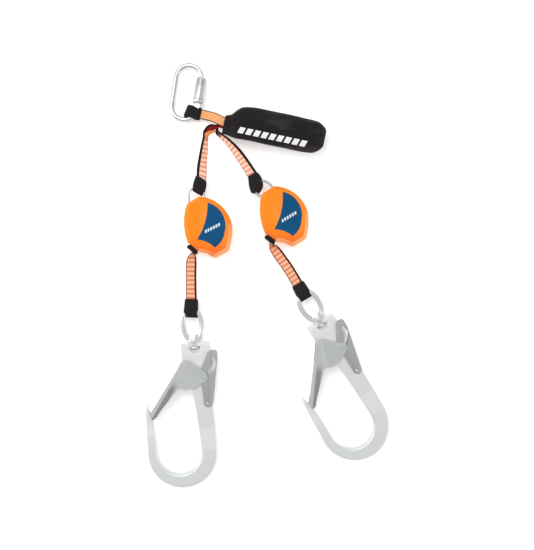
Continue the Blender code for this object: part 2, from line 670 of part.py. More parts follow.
def lifeline(side, plan, looks):
    """The webbing from the coil, over the guide and down to the lower sleeve, turning flat on the way."""
    reach = COIL_RADIUS + GAP + WEB_THICK / 2
    inside = [polar((0.0, 0.0), reach, 189.6), (-24.9, -20.5), (-22.4, -36.5), (-21.8, -40.6)]
    route = []
    for point in inside:
        x, y = turned_point(point, plan["block_turn"])
        route.append((plan["drum"][0] + x, plan["drum"][1] + y))
    edge_on = len(route)
    lip = {"left": (-23.2, -46.5), "right": (-24.5, -49.6)}[side]
    x, y = turned_point(lip, plan["block_turn"])
    route.append((plan["drum"][0] + x, plan["drum"][1] + y))
    route += plan["web"]
    last = plan["web"][-1]
    down = Vector((last[0] - plan["web"][0][0], last[1] - plan["web"][0][1], 0.0)).normalized()
    across = Vector((-down.y, down.x, 0.0))
    twist = [0.0] * edge_on + [2.0, 34.0, 78.0, 90.0, 90.0]
    drop = [0.0] * edge_on + [0.3, 1.6, 2.8, 5.0, WEB_MIDDLE_Z - HOOK_Z]
    stations = []
    for (x, y), angle, fall in zip(route, twist, drop):
        share = math.radians(angle)
        wide = Vector((0.0, 0.0, math.cos(share))) - across * math.sin(share)
        stations.append(((x, y, WEB_MIDDLE_Z - fall), wide, WEB_WIDTH, WEB_THICK))
    start = pivot(side + "_payout", (*route[edge_on], WEB_MIDDLE_Z))
    mesh = moved(strap(stations), place=tuple(-c for c in (*route[edge_on], WEB_MIDDLE_Z)))
    piece(side + "_lifeline", mesh, start, looks["webbing"])


def lower_sleeve(side, plan, swing, looks):
    """The stitched end loop of the lifeline in its black sleeve, with the swivel ring through it."""
    x0, y0, x1, y1 = plan["sleeve"]
    along = math.degrees(math.atan2(y1 - y0, x1 - x0))
    wide = facing(along - 90.0)
    stations = []
    for share, width, thick in ((0.0, 22.8, 5.0), (0.2, 23.2, 8.0), (0.4, 24.0, 12.6), (0.72, 25.2, 12.6), (1.0, 25.4, 6.4)):
        place = (x0 + (x1 - x0) * share, y0 + (y1 - y0) * share, HOOK_Z)
        stations.append((place, wide, width, thick))
    loop = piece(side + "_lower_sleeve", pad(stations), None, looks["black"])
    cutter = helper(side + "_lower_tunnel", sweep(swivel_path(), SWIVEL_WIRE + 0.4, 12, ring=True), swing)
    combine(loop, cutter, "DIFFERENCE")


def upper_sleeve(side, ring_base, looks):
    """The stitched end of the upper strap in its black sleeve, with the top ring through it."""
    stations = {
        "left": [
            (-111.3, 164.6, -31.5, 20.0, 5.0),
            (-112.8, 157.0, -25.0, 21.4, 8.6),
            (-115.6, 147.0, -24.0, 21.6, 8.6),
            (-119.0, 139.8, -33.0, 18.0, 4.6),
        ],
        "right": [
            (-24.8, 171.0, 28.0, 17.6, 5.0),
            (-20.6, 162.6, 14.0, 21.6, 8.6),
            (-18.9, 151.0, -2.0, 22.4, 8.6),
            (-21.0, 140.2, -10.0, 13.0, 4.6),
        ],
    }[side]
    rows = [((x, y, BLOCK_Z), facing(angle), width, thick) for x, y, angle, width, thick in stations]
    loop = piece(side + "_upper_sleeve", pad(rows), None, looks["black"])
    far = TOP_RING_MIDDLE + TOP_RING_HALF[0]
    path = [(x - far, y) for x, y in top_ring_path()]
    cutter = helper(side + "_upper_tunnel", sweep(path, TOP_RING_WIRE + 0.4, 10, ring=True), ring_base)
    combine(loop, cutter, "DIFFERENCE")


# ---- the karabiner ----


def oval_path():
    """The karabiner's bar, from its hinge round the plain arm to its nose, about the oval's middle."""
    half, straight = OVAL_HALF_WIDTH, OVAL_HALF_STRAIGHT
    path = [(half, GATE_HINGE_Y)]
    path += [polar((0.0, -straight), half, -180.0 * i / 12) for i in range(13)]
    path += [polar((0.0, straight), half, 180.0 - 180.0 * i / 12) for i in range(13)]
    return path


def karabiner(looks):
    where = (*KARABINER, KARABINER_Z)
    base = pivot("karabiner", where, KARABINER_TURN, KARABINER_TILT)
    hinge = (OVAL_HALF_WIDTH, GATE_HINGE_Y, 0.0)
    body = piece("karabiner_body", sweep(oval_path(), OVAL_WIRE, 10), base, looks["steel"])
    eye = moved(turning([(4.2, -4.2), (4.2, 4.2)], 16), place=hinge)
    combine(body, helper("karabiner_eye", eye, base), "UNION")
    fork = box((10.0, GATE_HINGE_Y - 4.5, -1.95), (35.0, GATE_HINGE_Y + 6.0, 1.95))
    nose = box((8.0, 12.0, -8.0), (36.0, NOSE_Y, 8.0))
    hole = moved(turning([(1.4 + GAP, -6.0), (1.4 + GAP, 6.0)], 12), place=hinge)
    for name, mesh in (("fork", fork), ("nose", nose), ("hinge_hole", hole)):
        combine(body, helper("karabiner_" + name, mesh, base), "DIFFERENCE")
    pin = moved(turning([(1.4, -4.1), (1.4, 4.1)], 12), place=hinge)
    piece("karabiner_hinge_pin", pin, base, looks["steel"])

    turn = bpy.data.objects.new("karabiner_gate_turn", None)
    turn.parent = base
    turn.location = Vector(hinge) * MM
    bpy.context.scene.collection.objects.link(turn)
    reach = NOSE_Y - GAP * 2 - GATE_HINGE_Y
    bar = turning([(4.7, 4.7), (4.7, reach - 4.0), (4.1, reach - 3.0), (3.7, reach)], 16)
    gate = piece("karabiner_gate", moved(bar, -90.0, axis="X"), turn, looks["steel"])
    tongue = box((-3.2, 0.0, -1.65), (3.2, 6.0, 1.65))
    end = turning([(3.9, -1.65), (3.9, 1.65)], 16)
    combine(gate, helper("karabiner_tongue", tongue, turn), "UNION")
    combine(gate, helper("karabiner_tongue_end", end, turn), "UNION")
    hole = turning([(1.4 + GAP, -6.0), (1.4 + GAP, 6.0)], 12)
    combine(gate, helper("karabiner_tongue_hole", hole, turn), "DIFFERENCE")
    low, high = -16.0 - GATE_HINGE_Y, 28.0 - GATE_HINGE_Y
    profile = [(5.1, low), (7.0, low), (8.8, low + 2.4), (8.8, high - 14.0), (8.2, high - 13.0)]
    profile += [(8.2, high - 2.0), (6.6, high), (5.1, high)]
    sleeve = moved(turning(profile, 20, ring=True), -90.0, axis="X")
    piece("lock_sleeve", sleeve, turn, looks["steel"])

    rows = [
        ((-138.4, 280.4, 8.0), facing(68.2), 22.4, 5.0),
        ((-133.6, 278.8, 8.0), facing(69.5), 22.6, 13.6),
        ((-120.8, 275.6, 8.2), facing(74.5), 22.6, 13.6),
        ((-112.6, 273.4, 8.4), facing(77.5), 22.0, 5.0),
    ]
    loop = piece("karabiner_wear_sleeve", pad(rows), None, looks["black"])
    start = [(OVAL_HALF_WIDTH, 0.0), *oval_path()[:14]]
    around = moved(turning([(5.2, -5.6), (5.2, 5.6)], 16), place=hinge)
    combine(loop, helper("karabiner_tunnel", sweep(start, OVAL_WIRE + 0.7, 12), base), "DIFFERENCE")
    combine(loop, helper("karabiner_eye_room", around, base), "DIFFERENCE")


# ---- the energy absorber and the straps ----


def pouch_section(x, middle, width, height, distance):
    """One ring of the pouch, a pillow section whose middle may lie beside the pouch's axis."""
    points = []
    for i in range(18):
        angle = math.tau * i / 18
        c, s = math.cos(angle), math.sin(angle)
        y = middle + math.copysign(abs(c) ** 0.8, c) * (width / 2 - distance)
        z = math.copysign(abs(s) ** 0.8, s) * (height / 2 - distance)
        points.append((x, y, z))
    return points


def absorber(looks):
    base = pivot("absorber", (*POUCH, POUCH_Z), POUCH_TURN)
    outer = [(-89.5, -10.5, 30.0, 21.0), (-80.0, -9.0, 35.0, 24.0), (-72.0, -5.0, 46.0, 35.0)]
    outer += [(-62.0, -2.0, 54.5, 43.0), (-40.0, 0.0, 57.6, 45.0), (0.0, 0.0, 58.0, 45.0)]
    outer += [(40.0, 0.0, 57.6, 45.0), (64.0, 0.0, 54.0, 43.0), (74.0, 0.5, 44.0, 34.0)]
    outer += [(79.5, 1.0, 34.0, 22.0), (82.5, 1.0, 24.0, 10.0)]
    skin = [pouch_section(*row, 0.0) for row in outer[::-1]]
    lining = [pouch_section(*row, 1.8) for row in outer[:-2]]
    piece("absorber_pouch", loft(skin + lining), base, looks["black"])
    folds, pitch, reach = 8, 3.0, 54.0
    stations = []
    for fold in range(folds):
        height = (fold - (folds - 1) / 2) * pitch
        ends = (-reach, reach) if fold % 2 == 0 else (reach, -reach)
        stations += [((x, 0.0, height), (0.0, 1.0, 0.0), 38.0, 2.0) for x in ends]
        if fold + 1 < folds:
            bulge = ends[1] + math.copysign(1.9, ends[1])
            stations.append(((bulge, 0.0, height + pitch / 2), (0.0, 1.0, 0.0), 38.0, 2.0))
    piece("tear_webbing", strap(stations), base, looks["webbing"])


def straps(looks):
    """The strap to the karabiner, and the two arms of the Y that the blocks hang on."""
    short = [
        ((-111.2, 273.5, 8.6), facing(76.0)),
        ((-101.0, 270.9, 11.0), facing(70.0)),
        ((-90.0, 267.2, 17.0), facing(67.0)),
        ((-79.5, 261.4, 22.6), facing(65.0)),
        ((-68.0, 256.9, 24.4), facing(72.0)),
        ((-46.0, 254.6, 24.8), facing(78.0)),
    ]
    rows = [(place, wide, WEB_WIDTH - 1.5, STRAP_THICK) for place, wide in short]
    piece("karabiner_strap", strap(rows), None, looks["plain"])
    up = Vector((0.0, 0.0, 1.0))
    left = [
        ((-47.0, 253.6, 18.8), facing(78.0), 15.0),
        ((-62.0, 256.0, 18.4), facing(74.0), 14.0),
        ((-72.5, 255.0, 18.2), facing(80.0) + up * 0.12, 12.0),
        ((-82.5, 252.8, 13.2), facing(100.0) * 0.25 + up, 13.0),
        ((-95.5, 249.6, 16.6), facing(110.0) * 0.8 + up, 16.0),
        ((-102.8, 241.5, 19.0), facing(160.0) * 0.6 + up, 17.0),
        ((-104.4, 231.0, 19.4), facing(180.0) * 0.5 + up, WEB_WIDTH),
        ((-107.6, 206.0, 19.2), facing(177.0) + up, WEB_WIDTH),
        ((-110.2, 184.0, 18.6), facing(172.0) + up * 0.55, WEB_WIDTH),
        ((-111.2, 165.4, 18.0), facing(150.0), WEB_WIDTH),
    ]
    rows = [(place, wide, width, STRAP_THICK) for place, wide, width in left]
    piece("left_upper_strap", strap(rows), None, looks["webbing"])
    right = [
        ((-84.6, 248.3, 19.7), facing(0.0) * 0.3 + up),
        ((-84.0, 241.4, 19.6), facing(30.0) * 0.35 + up),
        ((-76.0, 234.6, 19.6), facing(50.0) * 0.4 + up),
        ((-65.5, 225.4, 19.4), facing(45.0) * 0.6 + up),
        ((-48.0, 204.6, 19.0), facing(36.0) + up * 0.65),
        ((-25.3, 172.0, 18.0), facing(30.0)),
    ]
    rows = [(place, wide, WEB_WIDTH, STRAP_THICK) for place, wide in right]
    piece("right_upper_strap", strap(rows), None, looks["webbing"])


def build():
    clear_scene()
    looks = {
        "orange": finish("orange_shell", (0.95, 0.30, 0.02), 0.42),
        "pale": finish("pale_shell", (0.95, 0.42, 0.10), 0.5),
        "blue": finish("blue_label", (0.05, 0.13, 0.30), 0.35),
        "black": finish("black_fabric", (0.02, 0.02, 0.022), 0.85),
        "grey": finish("grey_plastic", (0.35, 0.36, 0.38), 0.5),
        "steel": finish("bright_steel", (0.72, 0.73, 0.74), 0.28, 1.0),
        "spring": finish("spring_steel", (0.30, 0.32, 0.36), 0.35, 1.0),
        "aluminium": finish("hook_aluminium", (0.78, 0.79, 0.79), 0.34, 1.0),
        "webbing": finish("orange_webbing", (0.90, 0.36, 0.14), 0.8),
        "plain": finish("plain_webbing", (0.92, 0.48, 0.22), 0.8),
    }
    karabiner(looks)
    absorber(looks)
    straps(looks)
    for side in LEGS:
        leg(side, looks)
    for item in bpy.data.objects:
        if item.parent is None:
            item.location.x += ORIGIN_SHIFT[0] * MM
            item.location.y += ORIGIN_SHIFT[1] * MM


build()
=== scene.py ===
"""The visual model of a twin-leg self retracting lifeline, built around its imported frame."""

import json
import math

import bmesh
import bpy
from mathutils import Matrix, Vector


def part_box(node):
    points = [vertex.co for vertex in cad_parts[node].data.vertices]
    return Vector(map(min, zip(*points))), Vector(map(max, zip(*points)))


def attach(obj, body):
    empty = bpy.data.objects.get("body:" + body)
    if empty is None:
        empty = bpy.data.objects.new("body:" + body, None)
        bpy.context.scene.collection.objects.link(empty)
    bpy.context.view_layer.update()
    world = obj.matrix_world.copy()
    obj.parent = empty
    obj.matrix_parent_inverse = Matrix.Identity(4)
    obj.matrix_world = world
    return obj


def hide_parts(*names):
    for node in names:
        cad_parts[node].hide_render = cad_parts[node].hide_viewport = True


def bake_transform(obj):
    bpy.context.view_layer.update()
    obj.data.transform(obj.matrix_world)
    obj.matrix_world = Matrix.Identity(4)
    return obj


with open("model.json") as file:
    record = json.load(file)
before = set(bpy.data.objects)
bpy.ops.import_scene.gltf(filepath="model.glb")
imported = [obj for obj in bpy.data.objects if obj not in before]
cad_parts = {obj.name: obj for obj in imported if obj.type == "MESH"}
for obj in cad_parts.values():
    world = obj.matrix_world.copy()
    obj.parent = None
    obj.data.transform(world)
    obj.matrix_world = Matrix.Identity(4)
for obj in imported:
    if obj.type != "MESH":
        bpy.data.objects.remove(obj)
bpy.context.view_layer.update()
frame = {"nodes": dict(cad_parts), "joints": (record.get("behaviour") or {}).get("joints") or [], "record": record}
MM = 0.001
joint = {entry["name"]: entry for entry in frame["joints"]}

# ---- studio: a pale table, and soft boxes above it ----
# The lanyard lies flat on a white table and is seen from straight above, from arm's length.

camera_data = bpy.data.cameras.new("camera")
camera_data.lens = 72.0
camera_data.sensor_fit = "VERTICAL"
camera_data.sensor_height = 36.0
VIEW_HEIGHT, LIE_HEIGHT = 0.935, 0.012  # metres of table in view, and the height they are measured at
camera_height = LIE_HEIGHT + VIEW_HEIGHT * camera_data.lens / camera_data.sensor_height
camera = bpy.data.objects.new("camera", camera_data)
camera.location = (-0.0006, -0.001, camera_height)
bpy.context.scene.collection.objects.link(camera)
bpy.context.scene.camera = camera
bpy.context.scene.view_settings.view_transform = "Standard"

for name, place, size, power in (
    ("overhead_box", (-0.5, 0.9, 1.7), 1.0, 11.0),
    ("left_box", (-1.7, 0.3, 0.8), 0.8, 8.0),
    ("right_box", (1.6, -0.5, 0.9), 0.7, 5.0),
):
    lamp_data = bpy.data.lights.new(name, "AREA")
    lamp_data.size = size
    lamp_data.energy = power
    lamp = bpy.data.objects.new(name, lamp_data)
    lamp.location = place
    lamp.rotation_euler = (-Vector(place)).to_track_quat("-Z", "Y").to_euler()
    bpy.context.scene.collection.objects.link(lamp)

room = bpy.data.worlds.new("white_room")
bpy.context.scene.world = room
room.use_nodes = True
room.node_tree.nodes["Background"].inputs["Color"].default_value = (1.0, 1.0, 1.0, 1.0)
room.node_tree.nodes["Background"].inputs["Strength"].default_value = 0.74


def paint(code):
    """A colour for a shader, from its six-digit web code."""
    parts = [int(code[i : i + 2], 16) / 255 for i in (0, 2, 4)]
    return (*[p / 12.92 if p <= 0.04045 else ((p + 0.055) / 1.055) ** 2.4 for p in parts], 1.0)


class Wire:
    """One output of a node, so that the maths of a finish reads as plain arithmetic."""

    def __init__(self, finish, socket):
        self.finish = finish
        self.socket = socket

    def math(self, operation, *others):
        inputs = dict(enumerate((self, *others)))
        return self.finish.node("ShaderNodeMath", {"operation": operation}, inputs)

    def __add__(self, other):
        return self.math("ADD", other)

    def __sub__(self, other):
        return self.math("SUBTRACT", other)

    def __rsub__(self, other):
        inputs = {0: other, 1: self}
        return self.finish.node("ShaderNodeMath", {"operation": "SUBTRACT"}, inputs)

    def __mul__(self, other):
        return self.math("MULTIPLY", other)

    def __gt__(self, other):
        return self.math("GREATER_THAN", other)

    def __lt__(self, other):
        return self.math("LESS_THAN", other)

    def __mod__(self, other):
        return self.math("FLOORED_MODULO", other)

    def __abs__(self):
        return self.math("ABSOLUTE")

    __radd__ = __add__
    __rmul__ = __mul__

    def sine(self):
        return self.math("SINE")

    def smooth(self, low, high):
        """0 below low and 1 above high, with a soft step between."""
        inputs = {"Value": self, "From Min": low, "From Max": high}
        return self.finish.node("ShaderNodeMapRange", {"interpolation_type": "SMOOTHSTEP"}, inputs)


class Finish:
    """The surface of one kind of material, on the standard shader."""

    def __init__(self, name, colour, roughness, **constants):
        self.material = bpy.data.materials.new(name)
        self.material.use_nodes = True
        self.tree = self.material.node_tree
        self.shader = self.tree.nodes["Principled BSDF"]
        self.feed(base_color=paint(colour), roughness=roughness, **constants)

    def feed(self, **inputs):
        for name, value in inputs.items():
            self.join(self.shader.inputs[name.replace("_", " ").title().replace("Ior", "IOR")], value)

    def join(self, socket, value):
        if isinstance(value, Wire):
            self.tree.links.new(value.socket, socket)
        else:
            socket.default_value = value

    def node(self, kind, settings, inputs, output=0):
        made = self.tree.nodes.new(kind)
        for name, value in settings.items():
            setattr(made, name, value)
        for name, value in inputs.items():
            self.join(made.inputs[name], value)
        return Wire(self, made.outputs[output])

    def spot(self, turn=0.0, scale=(1.0, 1.0, 1.0), shift=(0.0, 0.0, 0.0)):
        """The place on the piece, turned about +Z so that a pattern follows the piece."""
        here = self.node("ShaderNodeTexCoord", {}, {}, "Object")
        moved = {"Vector": here, "Location": shift, "Rotation": (0, 0, math.radians(turn)), "Scale": scale}
        return self.node("ShaderNodeMapping", {}, moved)

    def axes(self, vector):
        return [self.node("ShaderNodeSeparateXYZ", {}, {0: vector}, i) for i in range(3)]

    def local(self, middle, turn):
        """Across, along and up from a point of the piece, in a frame turned with the piece."""
        here = self.spot(shift=(-middle.x, -middle.y, 0.0))
        turned_back = {"Vector": here, "Rotation": (0.0, 0.0, math.radians(-turn))}
        return self.axes(self.node("ShaderNodeMapping", {}, turned_back))

    def noise(self, vector, scale, detail=3.0):
        return self.node("ShaderNodeTexNoise", {}, {"Vector": vector, "Scale": scale, "Detail": detail})

    def mix(self, share, first, second):
        """The first colour where share is 0, and the second where it is 1."""
        blend = self.node("ShaderNodeMix", {"data_type": "RGBA"}, {"Factor": share}, 2)
        self.join(blend.socket.node.inputs[6], first)
        self.join(blend.socket.node.inputs[7], second)
        return blend

    def bump(self, height, distance, strength=1.0):
        inputs = {"Height": height, "Distance": distance, "Strength": strength}
        self.feed(normal=self.node("ShaderNodeBump", {}, inputs))

    def edges(self, low=0.505, high=0.56):
        """1 along the outer edges of the piece, where handling wears it and where the finishes paint a highlight.
        """
        return self.node("ShaderNodeNewGeometry", {}, {}, "Pointiness").smooth(low, high)


table = Finish("table_top", "f6f6f6", 0.9)
grain = table.noise(table.spot(), 220.0)
table.feed(base_color=table.mix(grain, paint("f4f4f4"), paint("ffffff")))
table.feed(emission_color=paint("ffffff"), emission_strength=0.3)
bpy.ops.mesh.primitive_grid_add(x_subdivisions=12, y_subdivisions=12, size=6.0, location=(0, 0, -0.0006))
floor = bpy.context.active_object
floor.name = "table"
floor.data.materials.append(table.material)


# ---- webbing blocks: casings ----
# Two moulded ABS half shells, screwed together over the frame plate, with a printed label let into
# the front and a hard nylon mouthpiece where the webbing runs out.


def only(*chosen):
    """Selects these and nothing else, and makes the last one active."""
    bpy.ops.object.select_all(action="DESELECT")
    for item in chosen:
        item.select_set(True)
    bpy.context.view_layer.objects.active = chosen[-1]


def body_of(node):
    return next(body for body, nodes in frame["record"]["behaviour"]["bodies"].items() if node in nodes)


def slot_of(node):
    return next(s["material_slot"] for s in frame["record"]["subparts"] if s["node"] == node)


def coat(piece, finish, node):
    """Gives a finished piece its one material, and looks up its node's slot without using it."""
    piece.data.materials.clear()
    piece.data.materials.append(finish.material)
    for face in piece.data.polygons:
        face.material_index = 0
    slot_of(node)


def settle(piece, finish, node):
    """Coats a finished piece, and has it stand for that node and move with the node's body."""
    coat(piece, finish, node)
    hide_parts(node)
    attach(piece, body_of(node))


def apply(piece, kind, **settings):
    """Adds one modifier with these settings and applies it."""
    only(piece)
    modifier = piece.modifiers.new(kind.lower(), kind)
    for name, value in settings.items():
        setattr(modifier, name, value)
    bpy.ops.object.modifier_apply(modifier=modifier.name)


def smooth(piece, degrees=38.0):
    only(piece)
    bpy.ops.object.shade_smooth_by_angle(angle=math.radians(degrees))


def eased(node, finish, edge, segments=2):
    """The same piece as the frame's, with its moulded or machined edges rounded over."""
    plain = frame["nodes"][node]
    piece = plain.copy()
    piece.data = plain.data.copy()
    piece.name = node + "_eased"
    piece.parent = None
    piece.matrix_world = Matrix.Identity(4)
    for key in list(piece.keys()):
        del piece[key]
    bpy.context.scene.collection.objects.link(piece)
    only(piece)
    bpy.ops.object.mode_set(mode="EDIT")
    bpy.ops.mesh.select_all(action="SELECT")
    bpy.ops.mesh.remove_doubles(threshold=1e-5)
    bpy.ops.mesh.dissolve_limited(angle_limit=math.radians(1.5))
    bpy.ops.object.mode_set(mode="OBJECT")
    apply(piece, "BEVEL", width=edge, segments=segments, limit_method="ANGLE", angle_limit=math.radians(32))
    smooth(piece, 50.0)
    apply(piece, "WEIGHTED_NORMAL", weight=90, keep_sharp=True)
    settle(piece, finish, node)


def moulded(name, top, bottom, rim, roughness, middle):
    """Satin ABS with a fine spark texture, a little deeper in colour towards the web's mouth, with a painted pale
    highlight on the slopes that face right and down, and edges made paler both by handling wear and by a painted
    highlight.
    """
    made = Finish(name, top, roughness, specular_ior_level=0.02)
    here = made.spot()
    along = made.axes(here)[1].smooth(middle - 0.05, middle - 0.012)
    cloud = made.noise(here, 60.0)
    body = made.mix(along, paint(bottom), paint(top))
    body = made.mix(cloud * 0.06, body, paint("ffa43a"))
    faces = made.axes(made.node("ShaderNodeNewGeometry", {}, {}, "Normal"))
    # painted highlight: slopes whose normals face right and down are mixed towards the pale rim colour, as if lit
    # there
    lit_slope = (faces[0] * 0.6 - faces[1] * 0.8).smooth(0.15, 0.6)
    body = made.mix(lit_slope * 0.8, body, paint(rim))
    # paler edges: partly handling wear, partly a painted highlight on the rounded edges
    wear_and_highlight = made.edges() * 0.3
    made.feed(base_color=made.mix(wear_and_highlight, body, paint("ffc79a")))
    made.feed(roughness=roughness - 0.08 + cloud * 0.14)
    made.bump(made.noise(here, 2600.0, 2.0), 0.00006, 0.5)
    return made


nylon = Finish("black_nylon", "0c0a0b", 0.45, specular_ior_level=0.2)
nylon.bump(nylon.noise(nylon.spot(), 900.0), 0.00005)
nylon.feed(roughness=0.38 + nylon.noise(nylon.spot(), 140.0) * 0.18)


def label_finish(side, turn, middle):
    """Smooth blue vinyl, with a short row of plain white bars printed on it."""
    made = Finish(side + "_label_vinyl", "1d5c94", 0.3, specular_ior_level=0.04)
    cloud = made.noise(made.spot(), 45.0)
    ground = made.mix(cloud, paint("11476f"), paint("175680"))
    along, across, _ = made.local(middle, turn)
    slant = along - across * 0.4
    bars = (slant + 0.015) % 0.005 < 0.0032
    ink = bars * (abs(slant) < 0.0148) * (abs(across) < 0.0024)
    made.feed(base_color=made.mix(ink * 0.9, ground, paint("e8eef2")))
    made.feed(roughness=0.26 + cloud * 0.1)
    return made


BLOCK_TURN = {"left": 0.0, "right": 3.7}
block_frame = {}
for side, turn in BLOCK_TURN.items():
    x, y, _ = joint[side + "_drum_turn"]["pos_m"]
    block_frame[side] = Matrix.Translation((x, y, 0.0)) @ Matrix.Rotation(math.radians(turn), 4, "Z")
    # the third colour of each shell is its painted rim highlight
    front_shell = moulded(side + "_orange_shell", "f78300", "f0680c", "ffb888", 0.4, y)
    rear_shell = moulded(side + "_pale_shell", "fba458", "f98d4a", "ffcdac", 0.46, y)
    eased(side + "_front_shell", front_shell, 0.0011, 3)
    eased(side + "_rear_shell", rear_shell, 0.0009)
    eased(side + "_web_guide", nylon, 0.0009, 3)
    mark = block_frame[side] @ Vector((0.011, -0.006, 0.0))
    eased(side + "_label_panel", label_finish(side, 27.0 + turn, mark), 0.0003)


# ---- webbing blocks: load path and drum ----
# Inside each casing a steel plate carries the anchor pin and the drum's axle. The nylon drum holds
# the coil of webbing, and a flat spring winds it back. These keep the frame's own shapes.


def bright_metal(name, colour, roughness, grain, turn=0.0):
    """Plated or polished metal with a fine drawn grain, and edges made paler both by handling marks and by a
    painted highlight.
    """
    made = Finish(name, colour, roughness, metallic=1.0)
    drawn = made.noise(made.spot(turn, (1.0, grain, 1.0)), 120.0)
    cloud = made.noise(made.spot(), 38.0, 4.0)
    dull = made.mix(cloud * 0.35, paint(colour), paint("8e9296"))
    # edges mixed towards near-white: handling wear and a painted highlight on the bevels
    made.feed(base_color=made.mix(made.edges() * 0.4, dull, paint("eceded")))
    made.feed(roughness=roughness - 0.08 + cloud * 0.12 + drawn * 0.1)
    made.bump(drawn, 0.00002, 0.2)
    return made


zinc = bright_metal("zinc_plate", "d6d8d9", 0.27, 6.0)
blued = bright_metal("blued_spring", "5a6270", 0.35, 9.0)
drum_nylon = Finish("drum_nylon", "5f6164", 0.5)
drum_nylon.bump(drum_nylon.noise(drum_nylon.spot(), 800.0), 0.00005)


def dress(node, finish):
    """Gives a piece of the frame that keeps its shape its finish."""
    for place in bpy.data.objects[node].material_slots:
        place.link = "OBJECT"
        place.material = finish.material


for side in BLOCK_TURN:
    for part in ("frame_plate", "anchor_pin", "drum_axle", "ratchet_ring", "pawl"):
        dress(f"{side}_{part}", zinc)
    dress(side + "_power_spring", blued)
    dress(side + "_drum", drum_nylon)


# ---- webbing ----
# Narrow woven polyester: orange, with pale cross bands about 8 mm apart and thick black selvedges.
# Each length is sewn back on itself into a loop at its ends, and the sleeves cover the loops.

LINE_THICK = 1.4  # millimetres, and one layer on the drum
BAND_PITCH = 0.0076
WEFT_WAVE, WARP_WAVE = 6283.0, 113.0  # a weft thread to each millimetre, and 18 warp threads across


def webbing(name, band, pale, edge, share, low, high, dark=(-2.0, -1.0), deep="8f1f1c", broad=0.0016):
    """Woven tape, read from its own map: across from 0 to 1, and metres along.

    low and high are how much of its width each black selvedge takes, dark is the length in shade, and
    broad is half of a pale band.
    """
    made = Finish(name, band, 0.82, specular_ior_level=0.15)
    place = made.node("ShaderNodeUVMap", {"uv_map": "tape"}, {})
    across, along, _ = made.axes(place)
    wander = made.noise(made.spot(), 300.0) * 0.0012
    stripe = abs((along + wander) % BAND_PITCH - BAND_PITCH / 2).smooth(broad - 0.0004, broad + 0.0004)
    weft = (along * WEFT_WAVE).sine() * 0.5 + 0.5
    warp = (across * WARP_WAVE).sine() * 0.5 + 0.5
    cloth = made.mix(stripe * share, paint(pale), paint(band))
    cloth = made.mix(weft * 0.12, cloth, paint(edge))
    fuzz = made.noise(made.spot(), 1400.0, 4.0)
    cloth = made.mix(fuzz * 0.1, cloth, paint("ffe6d6"))
    shade = 1.0 - along.smooth(dark[0], dark[1])
    cloth = made.mix(shade, cloth, made.mix(weft * 0.25, paint(deep), paint("2a1413")))
    inner = 1.0 - across.smooth(low - 0.015, low + 0.015)
    outer = across.smooth(1.0 - high - 0.015, 1.0 - high + 0.015)
    ink = made.mix(fuzz, paint("121011"), paint("2b2524"))
    made.feed(base_color=made.mix(inner + outer, cloth, ink), roughness=0.75 + fuzz * 0.2)
    made.bump(warp * 0.6 + weft * 0.8 + fuzz * 0.5, 0.00016, 0.7)
    return made


line_tape = webbing("line_tape", "dc7b46", "fbbd9c", "b8552a", 0.95, 0.18, 0.07, broad=0.002)
arm_colours = ("ea9168", "ffd6c0", "c4673c", 0.95, 0.05, 0.26)
left_tape = webbing("left_arm_tape", *arm_colours, (0.062, 0.08), "c02a1e", 0.0021)
right_tape = webbing("right_arm_tape", *arm_colours, (0.009, 0.02), "1b1314", 0.0021)
plain_tape = webbing("plain_tape", "ec9c62", "f2a86e", "d5853f", 0.3, 0.09, 0.09)
fold_tape = webbing("fold_tape", "f0812f", "f4944a", "d0641c", 0.3, 0.05, 0.05)
tear_tape = webbing("tear_tape", "e9e4da", "d9d2c4", "b9b09e", 0.4, 0.04, 0.04)


def smooth_line(rows, steps, ring=False):
    """Rows of numbers on a smooth curve through the given ones, so many steps from each to the next."""
    rows = [Vector(row) for row in rows]
    if ring:
        rows = [rows[-1], *rows, *rows[:2]]
    else:
        rows = [2 * rows[0] - rows[1], *rows, 2 * rows[-1] - rows[-2]]
    found = []
    for a, b, c, d in zip(rows, rows[1:], rows[2:], rows[3:]):
        for step in range(steps):
            t = step / steps
            bend = 2 * b + (c - a) * t + (2 * a - 5 * b + 4 * c - d) * t**2
            found.append((bend + (3 * b - 3 * c + d - a) * t**3) / 2)
    return found if ring else [*found, rows[-2]]


def eased_stations(stations, steps):
    """As smooth_line, for stations of place, direction of the width, width and thickness."""
    return smooth_line([(*place, *wide, width, thick) for place, wide, width, thick in stations], steps)


